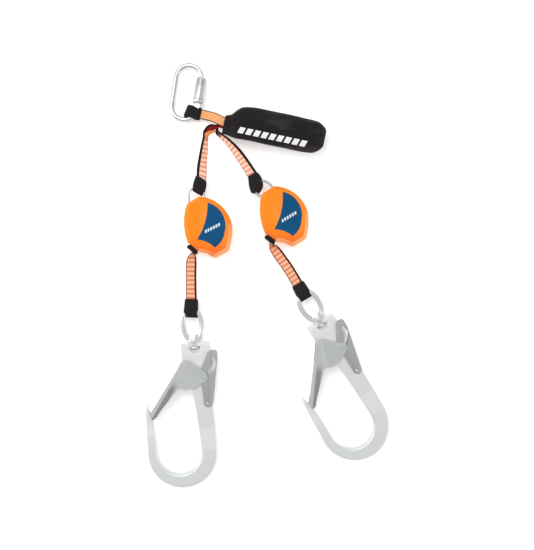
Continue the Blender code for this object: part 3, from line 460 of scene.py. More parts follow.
def tape(name, stations, finish, node, steps=7, shown=True):
    """A band of webbing over stations in millimetres, with rounded selvedges and a map along it."""
    mesh = bmesh.new()
    chart = mesh.loops.layers.uv.new("tape")
    rows = eased_stations(stations, steps)
    profile = [(-1.0, 0.0), (-0.97, 0.62), (-0.8, 1.0), (-0.4, 1.0)]
    profile += [(0.0, 1.0), (0.4, 1.0), (0.8, 1.0), (0.97, 0.62)]
    profile += [(-x, -z) for x, z in profile]
    rings, length = [], []
    for i, row in enumerate(rows):
        before, after = rows[max(i - 1, 0)], rows[min(i + 1, len(rows) - 1)]
        along = Vector(after[:3]) - Vector(before[:3])
        along.normalize()
        wide = Vector(row[3:6])
        wide.normalize()
        thin = along.cross(wide).normalized() * row[7] / 2
        wide *= row[6] / 2
        centre = Vector(row[:3])
        rings.append([mesh.verts.new((centre + wide * x + thin * z) * MM) for x, z in profile])
        length.append(length[-1] + (centre - Vector(rows[i - 1][:3])).length * MM if i else 0.0)
    count = len(profile)
    for i in range(len(rings) - 1):
        for k in range(count):
            n = (k + 1) % count
            face = mesh.faces.new((rings[i][k], rings[i][n], rings[i + 1][n], rings[i + 1][k]))
            spots = ((k, i), (n, i), (n, i + 1), (k, i + 1))
            for corner, (across, row) in zip(face.loops, spots):
                corner[chart].uv = (profile[across][0] / 2 + 0.5, length[row])
    for end in (rings[0], rings[-1]):
        cap = mesh.faces.new(end)
        for corner, spot in zip(cap.loops, range(count)):
            corner[chart].uv = (profile[spot][0] / 2 + 0.5, 0.0)
    bmesh.ops.recalc_face_normals(mesh, faces=mesh.faces)
    data = bpy.data.meshes.new(name)
    mesh.to_mesh(data)
    mesh.free()
    piece = bpy.data.objects.new(name, data)
    bpy.context.scene.collection.objects.link(piece)
    smooth(piece, 50.0)
    if shown:
        settle(piece, finish, node)
    return piece


up = Vector((0.0, 0.0, 1.0))


def facing(degrees):
    return Vector((math.cos(math.radians(degrees)), math.sin(math.radians(degrees)), 0.0))


def shifted(*place):
    """A point of the layout in millimetres, moved so that the whole object's middle is the origin."""
    return Vector((place[0] - 0.64, place[1] - 0.97, place[2]))


def laid(stations):
    return [(shifted(*place), wide, width, thick) for place, wide, width, thick in stations]


short = laid([
    ((-113.8, 274.2, 8.2), facing(77.0), 16.5, 2.0),
    ((-101.0, 270.9, 11.0), facing(70.0), 16.5, 2.0),
    ((-90.0, 267.2, 17.0), facing(67.0), 16.5, 2.0),
    ((-79.5, 261.4, 22.6), facing(65.0), 16.5, 2.0),
    ((-68.0, 256.9, 24.4), facing(72.0), 16.5, 2.0),
    ((-46.0, 254.6, 24.8), facing(78.0), 16.5, 2.0),
])
tape("strap_to_karabiner", short, plain_tape, "karabiner_strap")
left_arm = laid([
    ((-47.0, 253.6, 18.8), facing(78.0), 15.0, 2.0),
    ((-62.0, 256.0, 18.4), facing(74.0), 14.0, 2.0),
    ((-72.5, 255.0, 18.2), facing(80.0) + up * 0.12, 12.0, 2.0),
    ((-82.5, 252.8, 13.2), facing(100.0) * 0.25 + up, 13.0, 2.0),
    ((-95.5, 249.6, 16.6), facing(110.0) * 0.8 + up, 16.0, 2.0),
    ((-102.8, 241.5, 19.0), facing(160.0) * 0.6 + up, 17.0, 2.0),
    ((-104.4, 231.0, 19.4), facing(180.0) * 0.5 + up, 18.0, 2.0),
    ((-107.6, 206.0, 19.2), facing(177.0) + up, 18.0, 2.0),
    ((-110.2, 184.0, 18.6), facing(172.0) + up * 0.55, 18.0, 2.0),
    ((-111.3, 163.6, 18.0), facing(149.0), 18.0, 2.0),
])
tape("left_arm_of_the_y", left_arm, left_tape, "left_upper_strap", 9)
right_arm = laid([
    ((-84.6, 248.3, 19.7), facing(0.0) * 0.3 + up, 18.0, 2.0),
    ((-84.0, 241.4, 19.6), facing(30.0) * 0.35 + up, 18.0, 2.0),
    ((-76.0, 234.6, 19.6), facing(50.0) * 0.4 + up, 18.0, 2.0),
    ((-65.5, 225.4, 19.4), facing(45.0) * 0.6 + up, 18.0, 2.0),
    ((-48.0, 204.6, 19.0), facing(36.0) + up * 0.65, 18.0, 2.0),
    ((-24.5, 170.2, 18.0), facing(28.0), 16.8, 2.0),
])
tape("right_arm_of_the_y", right_arm, right_tape, "right_upper_strap", 9)
fold = laid([
    ((-104.5, 234.5, 22.6), facing(118.0) + up * 0.3, 9.0, 1.6),
    ((-100.0, 238.5, 24.4), facing(122.0) + up * 0.5, 8.0, 1.6),
    ((-94.0, 241.8, 25.6), facing(118.0) + up * 1.0, 7.5, 1.6),
    ((-88.0, 243.2, 25.4), facing(110.0) + up * 2.2, 7.0, 1.6),
])
fold = tape("fold_of_the_y", fold, fold_tape, "left_upper_strap", 8, shown=False)
coat(fold, fold_tape, "left_upper_strap")
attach(fold, "root")

WEB_TURNS = {
    "left": ((-23.2, -46.5), ((-127.6, 28.6), (-128.6, 14.0), (-128.9, -12.0), (-128.4, -42.2))),
    "right": ((-24.5, -49.6), ((11.6, 45.4), (20.6, 33.0), (36.2, 11.2), (52.7, -16.0))),
}
TWIST = (0, 0, 0, 0, 6, 56, 84, 90, 90)  # degrees, from on edge in the block to flat at the hook
FALL = (0, 0, 0, 0, 0.3, 1.6, 2.8, 5.0, 7.0)  # millimetres down, from the block to the hook
for side, (lip, web) in WEB_TURNS.items():
    start = math.radians(189.6)
    inside = [(28.0 * math.cos(start), 28.0 * math.sin(start))]
    inside += [(-24.9, -20.5), (-22.4, -36.5), (-21.8, -40.6)]
    route = [(block_frame[side] @ (Vector((*point, 0.0)) * MM)) / MM for point in [*inside, lip]]
    route += [shifted(*point, 0.0) for point in web]
    down = (route[-1] - route[5]).normalized()
    across = Vector((-down.y, down.x, 0.0))
    stations = []
    for point, angle, fall in zip(route, TWIST, FALL):
        share = math.radians(angle)
        wide = Vector((0.0, 0.0, math.cos(share))) - across * math.sin(share)
        stations.append((Vector((point.x, point.y, 18.3 - fall)), wide, 18.0, LINE_THICK))
    line = tape(side + "_lifeline_tape", stations, line_tape, side + "_lifeline", 8, shown=False)
    coat(line, line_tape, side + "_lifeline")
    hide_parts(side + "_lifeline")
    side + "_block"
    side + "_line"
    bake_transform(line)


# ---- metalwork: rings and the karabiner ----
# The rings and the karabiner are round steel bar, bent, welded and bright zinc plated. The
# karabiner's gate turns on a cross pin, and its lock sleeve turns on the gate.


def skin(name, loops, ring=False):
    """A closed piece over loops of one length, in metres, capped at both ends or joined end to start."""
    mesh = bmesh.new()
    rows = [[mesh.verts.new(point) for point in loop] for loop in loops]
    if not ring:
        mesh.faces.new(rows[0])
        mesh.faces.new(rows[-1])
    for low, high in zip(rows, [*rows[1:], *(rows[:1] if ring else [])]):
        for i in range(len(low)):
            mesh.faces.new((low[i], low[i - 1], high[i - 1], high[i]))
    bmesh.ops.recalc_face_normals(mesh, faces=mesh.faces)
    data = bpy.data.meshes.new(name)
    mesh.to_mesh(data)
    mesh.free()
    piece = bpy.data.objects.new(name, data)
    bpy.context.scene.collection.objects.link(piece)
    return piece


def turned(name, profile, place, sides=40, ring=False):
    """A lathe-turned piece about +Z from (radius, height) in millimetres, put in its place."""
    spokes = [(math.cos(math.tau * i / sides), math.sin(math.tau * i / sides)) for i in range(sides)]
    loops = [[Vector((r * c, r * s, h)) * MM for c, s in spokes] for r, h in profile]
    piece = skin(name, loops, ring)
    piece.data.transform(place)
    return piece


def bar(name, points, radius, place, ring=False, sides=20):
    """A round bar of one radius along points in millimetres, in a plane of its own."""
    points = [Vector((*p[:2], 0.0)) for p in points]
    loops = []
    for i, point in enumerate(points):
        before = points[i - 1] if ring or i else point
        after = points[(i + 1) % len(points)] if ring or i + 1 < len(points) else point
        along = (after - before).normalized()
        across = Vector((-along.y, along.x, 0.0))
        angles = [math.tau * k / sides for k in range(sides)]
        loops.append([(point + across * radius * math.cos(a) + up * radius * math.sin(a)) * MM for a in angles])
    piece = skin(name, loops, ring)
    piece.data.transform(place)
    return piece


def block(name, low, high, place):
    """A square cutter or tongue between two corners in millimetres, put in its place."""
    (x0, y0, z0), (x1, y1, z1) = low, high
    corners = [Vector((x, y, z0)) for x, y in ((x0, y0), (x1, y0), (x1, y1), (x0, y1))]
    lift = Vector((0.0, 0.0, z1 - z0))
    piece = skin(name, [[c * MM for c in corners], [(c + lift) * MM for c in corners]])
    piece.data.transform(place)
    return piece


def cut(piece, *tools, operation="DIFFERENCE"):
    """Cuts the tools from a piece, or joins them to it, and throws the tools away."""
    for tool in tools:
        apply(piece, "BOOLEAN", operation=operation, object=tool, solver="MANIFOLD")
        bpy.data.objects.remove(tool)


def rounded_edges(piece, width):
    """Breaks the sharp edges of a machined piece."""
    limit = math.radians(35.0)
    apply(piece, "BEVEL", width=width, segments=2, limit_method="ANGLE", angle_limit=limit)
    smooth(piece, 50.0)
    apply(piece, "WEIGHTED_NORMAL", weight=90, keep_sharp=True)


def at(place, turn=0.0):
    return Matrix.Translation(place) @ Matrix.Rotation(math.radians(turn), 4, "Z")


def lying(turn=-90.0):
    """Stands a lathe-turned piece along +Y instead of +Z."""
    return Matrix.Rotation(math.radians(turn), 4, "X")


bright_steel = bright_metal("bright_steel", "cfd3d2", 0.22, 3.0)
ground_steel = bright_metal("ground_steel", "bfc2c2", 0.34, 8.0, -8.6)
polished_steel = bright_metal("polished_steel", "dcdfde", 0.34, 2.0)

# the oval karabiner, from its middle
oval = Matrix.Translation(shifted(-137.0, 311.1, 6.95) * MM)
oval = oval @ Matrix.Rotation(math.radians(-8.6), 4, "Z") @ Matrix.Rotation(math.radians(-5.8), 4, "Y")
hinge = Vector((22.2, -21.0, 0.0))
hinge_place = oval @ Matrix.Translation(hinge * MM)
path = [hinge]
for middle, begin in ((-24.5, 0.0), (24.5, 180.0)):
    for step in range(25):
        angle = math.radians(begin - 7.5 * step)
        path.append(Vector((22.2 * math.cos(angle), middle + 22.2 * math.sin(angle), 0.0)))
oval_bar = bar("karabiner_bar", path, 4.25, oval, sides=28)
cut(oval_bar, turned("eye", [(4.2, -4.2), (4.2, 4.2)], hinge_place), operation="UNION")
cut(
    oval_bar,
    block("fork", (10.0, -25.5, -1.95), (35.0, -15.0, 1.95), oval),
    block("nose", (8.0, 12.0, -8.0), (36.0, 31.2, 8.0), oval),
    turned("hinge_hole", [(1.7, -6.0), (1.7, 6.0)], hinge_place),
)
rounded_edges(oval_bar, 0.0004)
settle(oval_bar, bright_steel, "karabiner_body")
gate = turned("gate_bar", [(4.7, 4.7), (4.7, 47.6), (4.1, 48.6), (3.7, 51.6)], hinge_place @ lying())
cut(
    gate,
    block("tongue", (-3.2, 0.0, -1.65), (3.2, 6.0, 1.65), hinge_place),
    turned("tongue_end", [(3.9, -1.65), (3.9, 1.65)], hinge_place),
    operation="UNION",
)
cut(gate, turned("tongue_hole", [(1.7, -6.0), (1.7, 6.0)], hinge_place))
rounded_edges(gate, 0.0003)
settle(gate, bright_steel, "karabiner_gate")
lock = [(5.1, 5.0), (7.4, 5.0), (7.8, 5.3), (9.0, 6.6), (9.2, 7.1), (9.2, 11.5)]
lock += [(8.7, 12.0), (8.7, 12.6), (9.2, 13.1), (9.2, 34.6), (9.0, 35.0), (8.6, 36.0)]
lock += [(8.6, 46.8), (8.3, 47.4), (7.2, 48.8), (6.8, 49.0), (5.1, 49.0)]
lock_piece = turned("lock_sleeve_turned", lock, hinge_place @ lying(), 56, ring=True)
smooth(lock_piece, 28.0)
settle(lock_piece, ground_steel, "lock_sleeve")
eased("karabiner_hinge_pin", bright_steel, 0.0003)

LEG_TURNS = {"left": (86.5, 6.0), "right": (142.0, 30.5)}
hook_place, ring_place, top_bar = {}, {}, {}
for side, (ring_turn, hook_turn) in LEG_TURNS.items():
    ring_place[side] = at(joint[side + "_ring_swing"]["pos_m"], ring_turn)
    top_bar[side] = at(joint[side + "_hook_swing"]["pos_m"], hook_turn)
    hook_place[side] = at(joint[side + "_hook_swivel"]["pos_m"], hook_turn)


def top_ring_path():
    """The oval ring at the top of a block, from the point of it that lies in the sleeve."""
    steps = [math.tau * i / 64 for i in range(64)]
    return [(12.8 - 31.1 + 18.3 * math.cos(a), 13.3 * math.sin(a)) for a in steps]


def swivel_path():
    """The ring of the hook's swivel, about its top bar, on a smooth line through the bends."""
    half = [(0.0, 0.0), (5.1, -0.85), (9.2, -3.4), (12.3, -7.2), (14.6, -12.0), (16.2, -21.0)]
    half += [(15.8, -31.0), (13.6, -40.0), (9.6, -46.6), (3.4, -49.0)]
    return smooth_line(half + [(-x, y) for x, y in half[:0:-1]], 4, ring=True)


for side in LEG_TURNS:
    loop = bar(side + "_ring_bar", top_ring_path(), 2.4, ring_place[side], ring=True)
    smooth(loop, 60.0)
    settle(loop, bright_steel, side + "_top_ring")
    loop = bar(side + "_swivel_bar", swivel_path(), 4.6, top_bar[side], ring=True, sides=24)
    place = top_bar[side]
    flat = Matrix.Diagonal((1.0, 1.0, 0.62, 1.0))
    barrel = [(8.8, -5.8), (9.4, -5.2), (10.2, 0.0), (11.3, 4.2), (11.4, 5.0), (10.8, 5.6)]
    neck = turned("neck", barrel, place @ Matrix.Translation((0.0, -0.0480, 0.0)) @ flat @ lying(90.0), 48)
    cut(loop, neck, operation="UNION")
    bore = [(4.5, -4.0), (4.5, 12.0)]
    cut(loop, turned("bore", bore, place @ Matrix.Translation((0.0, -0.055, 0.0)) @ lying(), 32))
    smooth(loop, 40.0)
    settle(loop, polished_steel, side + "_swivel_ring")
    pin = [(4.2, -14.0), (4.2, 0.6), (7.5, 0.6), (8.0, 0.9), (8.2, 1.6), (8.2, 3.2)]
    pin += [(7.9, 4.2), (7.2, 5.0), (6.0, 5.7), (4.4, 6.1), (2.6, 6.2)]
    pin_place = place @ Matrix.Translation((0.0, -0.0612, 0.0)) @ lying(90.0)
    pin = turned(side + "_swivel_pin_turned", pin, pin_place, 36)
    smooth(pin, 40.0)
    settle(pin, polished_steel, side + "_swivel_pin")


# ---- webbing wound up inside: the drums' coils ----
# The unused part of each lifeline's polyester webbing is wound on the nylon drum in layers a tape's
# thickness apart, edge on to both flanges, and is held at the drum's hub.


def coil_finish(side, middle):
    """The same webbing seen edge on, one fine line to each layer, and its face round the outside."""
    made = Finish(side + "_coiled_tape", "c9703f", 0.85, specular_ior_level=0.15)
    x, y, z = made.axes(made.spot(shift=(-middle[0], -middle[1], 0.0)))
    radius = (x * x + y * y).math("SQRT")
    gap = (radius % (LINE_THICK * MM)).smooth(0.0009, 0.0013)
    lint = made.noise(made.spot(), 900.0, 3.0)
    face = made.mix(lint, paint("d87a48"), paint("f0b08c"))
    layers = made.mix(gap, made.mix(lint, paint("221d1c"), paint("3a3231")), paint("080707"))
    edge = abs(z - 0.0183) > 0.0078
    made.feed(base_color=made.mix(edge, face, layers), roughness=0.8 + lint * 0.15)
    made.bump(lint - gap * 0.8, 0.0002, 0.6)
    return made


for side in BLOCK_TURN:
    low, high = (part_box(side + "_web_coil")[k][2] / MM for k in (0, 1))
    layers = [9.0 + LINE_THICK * i for i in range(13)]
    top = [(r + step, high - fall) for r in layers for step, fall in ((0.0, 0.4), (0.2, 0.0), (1.2, 0.0))]
    rim = [(27.0, high - 0.6), (27.0, low + 0.6)]
    bottom = [(r, low + high - h) for r, h in top[::-1]]
    drum_place = Matrix.Translation((*joint[side + "_drum_turn"]["pos_m"][:2], 0.0))
    wound = turned(side + "_wound_tape", bottom[::-1] + rim[::-1] + top[::-1], drum_place, 56, ring=True)
    smooth(wound, 35.0)
    settle(wound, coil_finish(side, joint[side + "_drum_turn"]["pos_m"]), side + "_web_coil")


# ---- metalwork: the scaffold hooks ----
# Each hook is forged aluminium alloy, shot-blasted, thicker round the bow than at the head. The gate
# and the lock lever are folded from steel sheet, and turn on rivets through the head.


def arc(start, via, end, steps):
    """The points after start on the circle that runs from start through via to end."""
    ax, ay, bx, by, cx, cy = *start, *via, *end
    d = 2 * (ax * (by - cy) + bx * (cy - ay) + cx * (ay - by))
    a2, b2, c2 = ax * ax + ay * ay, bx * bx + by * by, cx * cx + cy * cy
    mx = (a2 * (by - cy) + b2 * (cy - ay) + c2 * (ay - by)) / d
    my = (a2 * (cx - bx) + b2 * (ax - cx) + c2 * (bx - ax)) / d
    first = math.atan2(ay - my, ax - mx)
    sweep = (math.atan2(cy - my, cx - mx) - first) % math.tau
    if (math.atan2(by - my, bx - mx) - first) % math.tau > sweep:
        sweep -= math.tau
    radius = math.hypot(ax - mx, ay - my)
    angles = [first + sweep * i / steps for i in range(1, steps + 1)]
    return [(mx + radius * math.cos(a), my + radius * math.sin(a)) for a in angles]


def forging(name, place):
    """The hook's body, from its nose round the bow and up the spine to its head."""
    # the inner and outer edge of each section, half of its thickness, and its bevel
    stations = [
        ((-91.0, -90.5), (-93.0, -90.0), 4.0, 0.8),
        ((-87.0, -104.0), (-94.6, -103.0), 6.3, 1.5),
        ((-83.6, -122.7), (-95.4, -122.0), 6.6, 2.0),
        ((-82.8, -134.0), (-96.0, -134.5), 8.3, 2.8),
        ((-82.0, -146.0), (-96.6, -147.0), 9.6, 3.5),
    ]
    inner = [(-80.9, -168.0)] + arc((-80.9, -168.0), (-45.6, -212.3), (-6.0, -172.0), 30)
    outer = [(-97.4, -170.0)] + arc((-97.4, -170.0), (-46.5, -235.4), (20.9, -180.0), 30)
    stations += [(near, far, 10.4, 4.5) for near, far in zip(inner, outer)]
    stations += [
        ((-6.5, -157.0), (20.85, -160.0), 8.75, 2.9),
        ((-7.1, -140.5), (20.8, -138.0), 7.0, 1.2),
        ((-8.2, -113.0), (20.3, -111.0), 7.0, 1.2),
        ((-10.5, -73.4), (20.3, -73.4), 7.0, 1.2),
        ((-18.0, -48.0), (20.3, -48.0), 7.0, 1.2),
        ((-23.5, -22.0), (20.6, -18.0), 7.0, 1.2),
        ((-23.8, -10.0), (25.9, -8.0), 7.0, 1.2),
        ((-23.8, 6.8), (26.2, 6.8), 7.0, 1.2),
    ]
    loops = []
    for near, far, high, bevel in stations:
        near, far = Vector((*near, 0.0)), Vector((*far, 0.0))
        wide = (far - near).length
        across = (far - near) / wide
        inward, outward = min(bevel, 0.4 * wide), min(bevel * 0.7, 0.3 * wide)
        quarter = [math.radians(22.5 * k) for k in range(5)]
        rise = [up * (high - bevel + bevel * math.sin(a)) for a in quarter]
        reach = [1.0 - math.cos(a) for a in quarter]
        upper = [near + across * inward * r + h for r, h in zip(reach, rise)]
        upper += [far - across * outward * r + h for r, h in zip(reach[::-1], rise[::-1])]
        loops.append([p * MM for p in upper] + [Vector((p.x, p.y, -p.z)) * MM for p in upper[::-1]])
    body = skin(name, loops)
    sides = len(loops[0])
    creases = {5, 14, 35, 37}  # sections across which the forging's faces keep an edge
    sharp = body.data.attributes.new("sharp_edge", "BOOLEAN", "EDGE")
    for edge in body.data.edges:
        first, second = (v // sides for v in edge.vertices)
        sharp.data[edge.index].value = first == second and first in creases
    body.data.transform(place)
    return body


def outlined(name, outline, low, high, place):
    """A flat plate or a cutter of one outline, in millimetres."""
    piece = skin(name, [[Vector((x, y, z)) * MM for x, y in outline] for z in (low, high)])
    piece.data.transform(place)
    return piece


GATE_SWING = 33.0  # degrees, from shut to open
alloy = Finish("blasted_alloy", "d9dcda", 0.42, metallic=0.75)
cloud = alloy.noise(alloy.spot(), 26.0, 4.0)
pits = alloy.noise(alloy.spot(), 1500.0, 2.0)
tone = alloy.mix(cloud * 0.5, paint("dfe2e0"), paint("cdd1cf"))
# edges mixed towards near-white: wear and a painted highlight on the forging's bevels
alloy.feed(base_color=alloy.mix(alloy.edges(0.51, 0.6) * 0.5, tone, paint("f6f7f6")))
alloy.feed(roughness=0.36 + cloud * 0.16 + pits * 0.05)
alloy.bump(pits, 0.00008, 0.45)
for side in LEG_TURNS:
    place = hook_place[side]
    body = forging(side + "_hook_forging", place)
    window = [(-11.0, 0.8), *arc((-11.0, 0.8), (0.0, -10.2), (11.0, 0.8), 20)]
    recess = [(-8.6, -1.0), (8.6, -1.0), (7.6, 8.0), (-7.6, 8.0)]
    gate_at, lever_at, tail_at = Vector((-17.0, -28.4)), Vector((11.9, -97.9)), Vector((13.1, -53.4))
    sweep = []
    for step in range(13):
        arm = tail_at - gate_at
        arm.rotate(Matrix.Rotation(math.radians(GATE_SWING * step / 12), 2))
        sweep.append(gate_at + arm)
    outer_side, inner_side = [], []
    for k, point in enumerate(sweep):
        along = (sweep[min(k + 1, 12)] - sweep[max(k - 1, 0)]).normalized() * 3.6
        outer_side.append(point + Vector((along.y, -along.x)))
        inner_side.append(point + Vector((-along.y, along.x)))
    slot = [tuple(p) for p in outer_side + inner_side[::-1]]
    holes = {
        "gate_bore": (gate_at, 4.2, 13.0),
        "lever_bore": (lever_at, 3.7, 13.0),
        "slot_start": (tail_at, 3.6, 12.0),
        "slot_end": (sweep[-1], 3.6, 11.8),
    }
    drills = []
    for hole, (spot, radius, reach) in holes.items():
        drill_place = place @ Matrix.Translation((*(spot * MM), 0.0))
        drills.append(turned(hole, [(radius, -reach), (radius, reach)], drill_place, 28))
    pin_place = place @ Matrix.Translation((0.0, 0.008, 0.0)) @ lying(90.0)
    cut(
        body,
        outlined("window", window, -12.0, 12.0, place),
        outlined("front_recess", recess, 3.4, 12.0, place),
        outlined("rear_recess", recess, -12.0, -3.4, place),
        turned("pin_bore", [(4.5, -12.0), (4.5, 12.0)], pin_place, 28),
        *drills,
        outlined("tail_slot", slot, -11.9, 11.9, place),
    )
    smooth(body, 34.0)
    apply(body, "WEIGHTED_NORMAL", weight=90, keep_sharp=True)
    settle(body, alloy, side + "_hook_body")


def gate_finish(side, arm_at, turn):
    """The gate's folded sheet, with painted shade darkening the middle of its arm, in the channel between the two
    folded cheeks.
    """
    made = bright_metal(side + "_pressed_sheet", "c2c5c6", 0.33, 10.0, -turn)
    across, along, _ = made.local(arm_at.translation, turn)
    bright = made.shader.inputs["Base Color"].links[0].from_socket
    # painted shade: a dark band down the middle of the arm, where the channel between the cheeks lies in shadow
    fold = (1.0 - abs(across).smooth(0.0034, 0.0052)) * (1.0 - along.smooth(0.012, 0.034))
    face = 1.0 - fold * (0.5 + made.noise(made.spot(), 60.0) * 0.3)
    made.feed(base_color=made.mix(face, paint("6f7272"), Wire(made, bright)))
    return made


for side, (_, hook_turn) in LEG_TURNS.items():
    lever_sheet = bright_metal(side + "_lever_sheet", "8f9292", 0.36, 10.0, -hook_turn)
    arm_at = hook_place[side] @ Matrix.Translation(Vector((-54.3, -80.4, 0.0)) * MM)
    eased(side + "_gate", gate_finish(side, arm_at, hook_turn - 36.4), 0.00045)
    eased(side + "_lock_lever", lever_sheet, 0.00045)
    for part in ("gate_rivet", "lever_rivet", "gate_tail_pin"):
        eased(f"{side}_{part}", bright_steel, 0.0006)


# ---- soft goods: sleeves and the absorber's pouch ----
# Black polyester sleeves are sewn over the ends of the webbing where steel would chafe it. The
# pouch is black coated nylon, gathered at both ends round the folded tear webbing.


def cloth(name, colour, pale, weave, turn):
    """Close black cloth in a fine basket weave, with a painted grey highlight along its edges and folds."""
    made = Finish(name, colour, 0.8, sheen_weight=0.06, sheen_roughness=0.4, specular_ior_level=0.15)
    x, y, _ = made.axes(made.spot(turn))
    threads = (x * weave).sine() * (y * weave).sine()
    cloud = made.noise(made.spot(), 55.0, 4.0)
    lint = made.noise(made.spot(), 900.0, 2.0)
    ground = made.mix(cloud * 0.5, paint(colour), paint(pale))
    # painted highlight: rounded edges and folds mixed towards grey
    made.feed(base_color=made.mix(made.edges(0.51, 0.58) * 0.35, ground, paint("4a4748")))
    made.feed(roughness=0.72 + lint * 0.2)
    made.bump(threads * 0.5 + lint * 0.6, 0.00012, 0.5)
    return made, ground


sleeve_cloth, _ = cloth("sleeve_cloth", "1e1a1b", "2b2728", 5200.0, 0.0)
thread = Finish("black_thread", "0f0f10", 0.6)
thread.feed(base_color=thread.mix(thread.noise(thread.spot(), 400.0), paint("0d0d0e"), paint("262425")))


def sleeve(name, stations, tools, node, start):
    """A stuffed flat sleeve over stations in millimetres, with a tunnel for its bar."""
    rows = eased_stations(stations, 8)
    loops = []
    for i, row in enumerate(rows):
        before, after = rows[max(i - 1, 0)], rows[min(i + 1, len(rows) - 1)]
        along = (Vector(after[:3]) - Vector(before[:3])).normalized()
        wide = Vector(row[3:6]).normalized()
        thin = along.cross(wide).normalized()
        near_end = min(1.0, min(i, len(rows) - 1 - i) / 4)
        row[6] *= 1.0 - 0.11 * (1.0 - near_end) ** 2  # drawn in a little at each end
        loop = []
        for k in range(28):
            c, s = math.cos(math.tau * k / 28), math.sin(math.tau * k / 28)
            x = math.copysign(abs(c) ** 0.42, c) * row[6] / 2
            z = math.copysign(abs(s) ** 0.75, s) * row[7] / 2
            loop.append((Vector(row[:3]) + wide * x + thin * z) * MM)
        loops.append(loop)
    piece = skin(name, loops)
    cut(piece, *tools)
    smooth(piece, 42.0)
    coat(piece, sleeve_cloth, node)
    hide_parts(node)
    start * MM
    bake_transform(piece)
    rows = rows[2:-1]
    stitches = []
    for edge in (-0.8, 0.8):
        for first, second in zip(rows[::2], rows[1::2]):
            stitch = []
            for row in (first, second):
                wide = Vector(row[3:6]).normalized()
                along = (Vector(second[:3]) - Vector(first[:3])).normalized()
                thin = along.cross(wide).normalized()
                thin = thin if thin.z > 0 else -thin
                stitch.append(Vector(row[:3]) + wide * edge * row[6] / 2 + thin * (row[7] / 2 * 0.8))
            stitches.append(stitch)
    mesh = bmesh.new()
    for first, second in stitches:
        middle, along = (first + second) / 2 * MM, (second - first).normalized()
        turn = along.to_track_quat("X", "Z").to_matrix().to_4x4()
        long = Matrix.Diagonal(((second - first).length * 0.7 * MM, 0.0006, 0.0005, 1.0))
        bmesh.ops.create_cube(mesh, size=1.0, matrix=Matrix.Translation(middle) @ turn @ long)
    data = bpy.data.meshes.new(name + "_stitches")
    mesh.to_mesh(data)
    mesh.free()
    seam = bpy.data.objects.new(name + "_stitches", data)
    bpy.context.scene.collection.objects.link(seam)
    coat(seam, thread, node)
    start * MM
    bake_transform(seam)


LINE_ENDS = {"left": (-128.4, -40.8, -129.6, -72.4), "right": (52.0, -14.8, 67.2, -41.1)}
# how far along, width and thickness
LINE_SLEEVE = ((0, 22.8, 5.0), (0.2, 23.2, 8.0), (0.4, 24.0, 12.6), (0.72, 25.2, 12.6), (1, 25.4, 6.4))
for side in LEG_TURNS:
    x0, y0, x1, y1 = LINE_ENDS[side]
    wide = facing(math.degrees(math.atan2(y1 - y0, x1 - x0)) - 90.0)
    rows = []
    for share, width, thick in LINE_SLEEVE:
        spot = shifted(x0 + (x1 - x0) * share, y0 + (y1 - y0) * share, 11.3)
        rows.append((spot, wide, width, thick))
    tunnel = bar("tunnel", swivel_path(), 4.9, top_bar[side], ring=True)
    sleeve(side + "_line_sleeve", rows, [tunnel], side + "_lower_sleeve", rows[0][0])

    # place, direction of the width, width and thickness
    rows = {
        "left": [
            (-111.3, 164.6, -31.5, 20.6, 5.0),
            (-112.8, 157.0, -25.0, 22.8, 8.8),
            (-115.4, 146.0, -24.0, 23.4, 8.8),
            (-118.2, 137.8, -30.0, 20.0, 4.6),
        ],
        "right": [
            (-24.8, 171.0, 28.0, 18.4, 5.0),
            (-20.4, 162.4, 14.0, 22.8, 8.8),
            (-18.6, 150.0, -2.0, 23.8, 8.8),
            (-20.6, 137.8, -10.0, 14.0, 4.6),
        ],
    }[side]
    rows = [(shifted(x, y, 18.0), facing(angle), width, thick) for x, y, angle, width, thick in rows]
    tunnel = bar("tunnel", top_ring_path(), 2.8, ring_place[side], ring=True)
    sleeve(side + "_strap_sleeve", rows, [tunnel], side + "_upper_sleeve", rows[0][0])

rows = laid([
    ((-138.4, 280.4, 8.0), facing(68.2), 22.4, 5.0),
    ((-133.6, 278.8, 8.0), facing(69.5), 22.6, 13.6),
    ((-120.8, 275.6, 8.2), facing(74.5), 22.6, 13.6),
    ((-112.6, 273.4, 8.4), facing(77.5), 22.0, 5.0),
])
arm = [(22.2, 0.0, 0.0), *path[:27]]
tools = [bar("tunnel", arm, 4.95, oval), turned("eye_room", [(5.2, -4.6), (5.2, 4.6)], hinge_place)]
tools.append(turned("gate_room", [(5.2, 2.0), (5.2, 16.0)], hinge_place @ lying(), 28))
sleeve("karabiner_sleeve", rows, tools, "karabiner_wear_sleeve", rows[-1][0])

pouch = at(shifted(16.8, 245.8, 22.5) * MM, -12.0)
outer = [(-89.5, -10.5, 30.0, 21.0), (-80.0, -9.0, 35.0, 24.0), (-72.0, -5.0, 46.0, 35.0)]
outer += [(-62.0, -2.0, 54.5, 43.0), (-40.0, 0.0, 57.6, 45.0), (0.0, 0.0, 58.0, 45.0)]
outer += [(40.0, 0.0, 57.6, 45.0), (64.0, 0.0, 54.0, 43.0), (74.0, 0.5, 44.0, 34.0)]
outer += [(79.5, 1.0, 34.0, 22.0), (82.5, 1.0, 24.0, 10.0)]
fine = smooth_line(outer, 8)


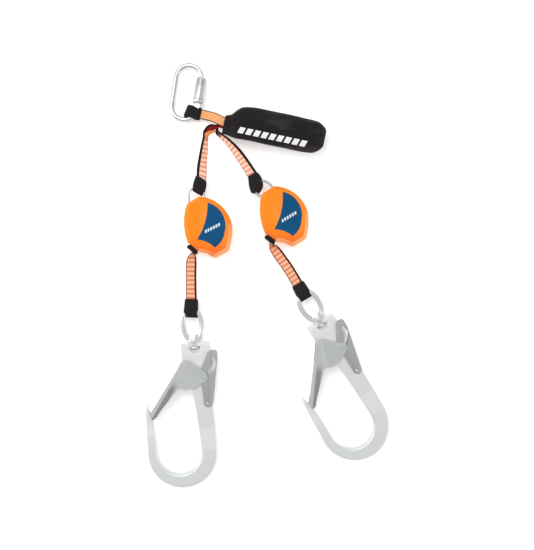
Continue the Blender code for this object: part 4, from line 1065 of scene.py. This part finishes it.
def pouch_ring(row, inset):
    """One ring of the pouch, with gathers that deepen towards the tied ends."""
    x, middle, width, height = row
    gather = max(0.0, (abs(x + 4.0) - 44.0) / 42.0) ** 1.3
    ring = []
    for i in range(96):
        a = math.tau * i / 96
        c, s = math.cos(a), math.sin(a)
        fold = math.sin(a * 11.0 + 0.9 * math.sin(x * 0.11)) + 0.6 * math.sin(a * 17.0 + 2.0 + x * 0.05)
        sag = 0.35 * math.sin(a * 3.0 + x * 0.06) * math.sin(x * 0.045 + 1.0)
        swell = -inset if inset else fold * 1.05 * gather + sag - 0.5
        y = middle + math.copysign(abs(c) ** 0.8, c) * (width / 2 + swell)
        z = math.copysign(abs(s) ** 0.8, s) * (height / 2 + swell)
        ring.append(Vector((x, y, z)) * MM)
    return ring


loops = [pouch_ring(row, 0.0) for row in fine[::-1]] + [pouch_ring(row, 2.6) for row in fine[:-10]]
bag = skin("pouch_cover", loops)
bag.data.transform(pouch)
smooth(bag, 55.0)
pouch_cloth, ground = cloth("pouch_cloth", "191718", "231f20", 4200.0, 12.0)
along, across, _ = pouch_cloth.local(pouch @ Vector((-0.003, -0.016, 0.0)), -12.0)
height = pouch_cloth.axes(pouch_cloth.spot())[2]
# painted highlight: soft grey streaks along the pouch's folds, where light catches the creases
creases = pouch_cloth.noise(pouch_cloth.spot(12.0, (0.35, 1.0, 1.0)), 42.0, 4.0).smooth(0.5, 0.75)
ground = pouch_cloth.mix(creases * 0.55, ground, paint("413c3d"))
slant = along - across * 0.35
bars = (slant + 0.059) % 0.0132 < 0.0094
ink = bars * (abs(slant) < 0.059) * (abs(across) < 0.005) * (height > 0.023)
grit = pouch_cloth.noise(pouch_cloth.spot(), 1600.0, 2.0)
print_white = pouch_cloth.mix(grit, paint("f4f4f4"), paint("dcdcdc"))
pouch_cloth.feed(base_color=pouch_cloth.mix(ink, ground, print_white))
settle(bag, pouch_cloth, "absorber_pouch")

# the tear webbing inside the pouch, in eight layers that lie to and fro
REACH, TURN_RADIUS = 54.0, 1.5
folded = []
for layer in range(8):
    height, way = (layer - 3.5) * 2 * TURN_RADIUS, 1 if layer % 2 == 0 else -1
    folded += [(x * way, height) for x in (-REACH, -30.0, 0.0, 30.0, REACH)]
    for angle in (-54, -18, 18, 54) if layer < 7 else ():
        out, rise = math.cos(math.radians(angle)), 1 + math.sin(math.radians(angle))
        folded.append((way * (REACH + TURN_RADIUS * out), height + TURN_RADIUS * rise))
across = pouch.to_3x3() @ Vector((0.0, 1.0, 0.0))
folded = [((pouch @ (Vector((x, 0.0, z)) * MM)) / MM, across, 38.0, 1.9) for x, z in folded]
tape("tear_webbing_folded", folded, tear_tape, "tear_webbing", 1)
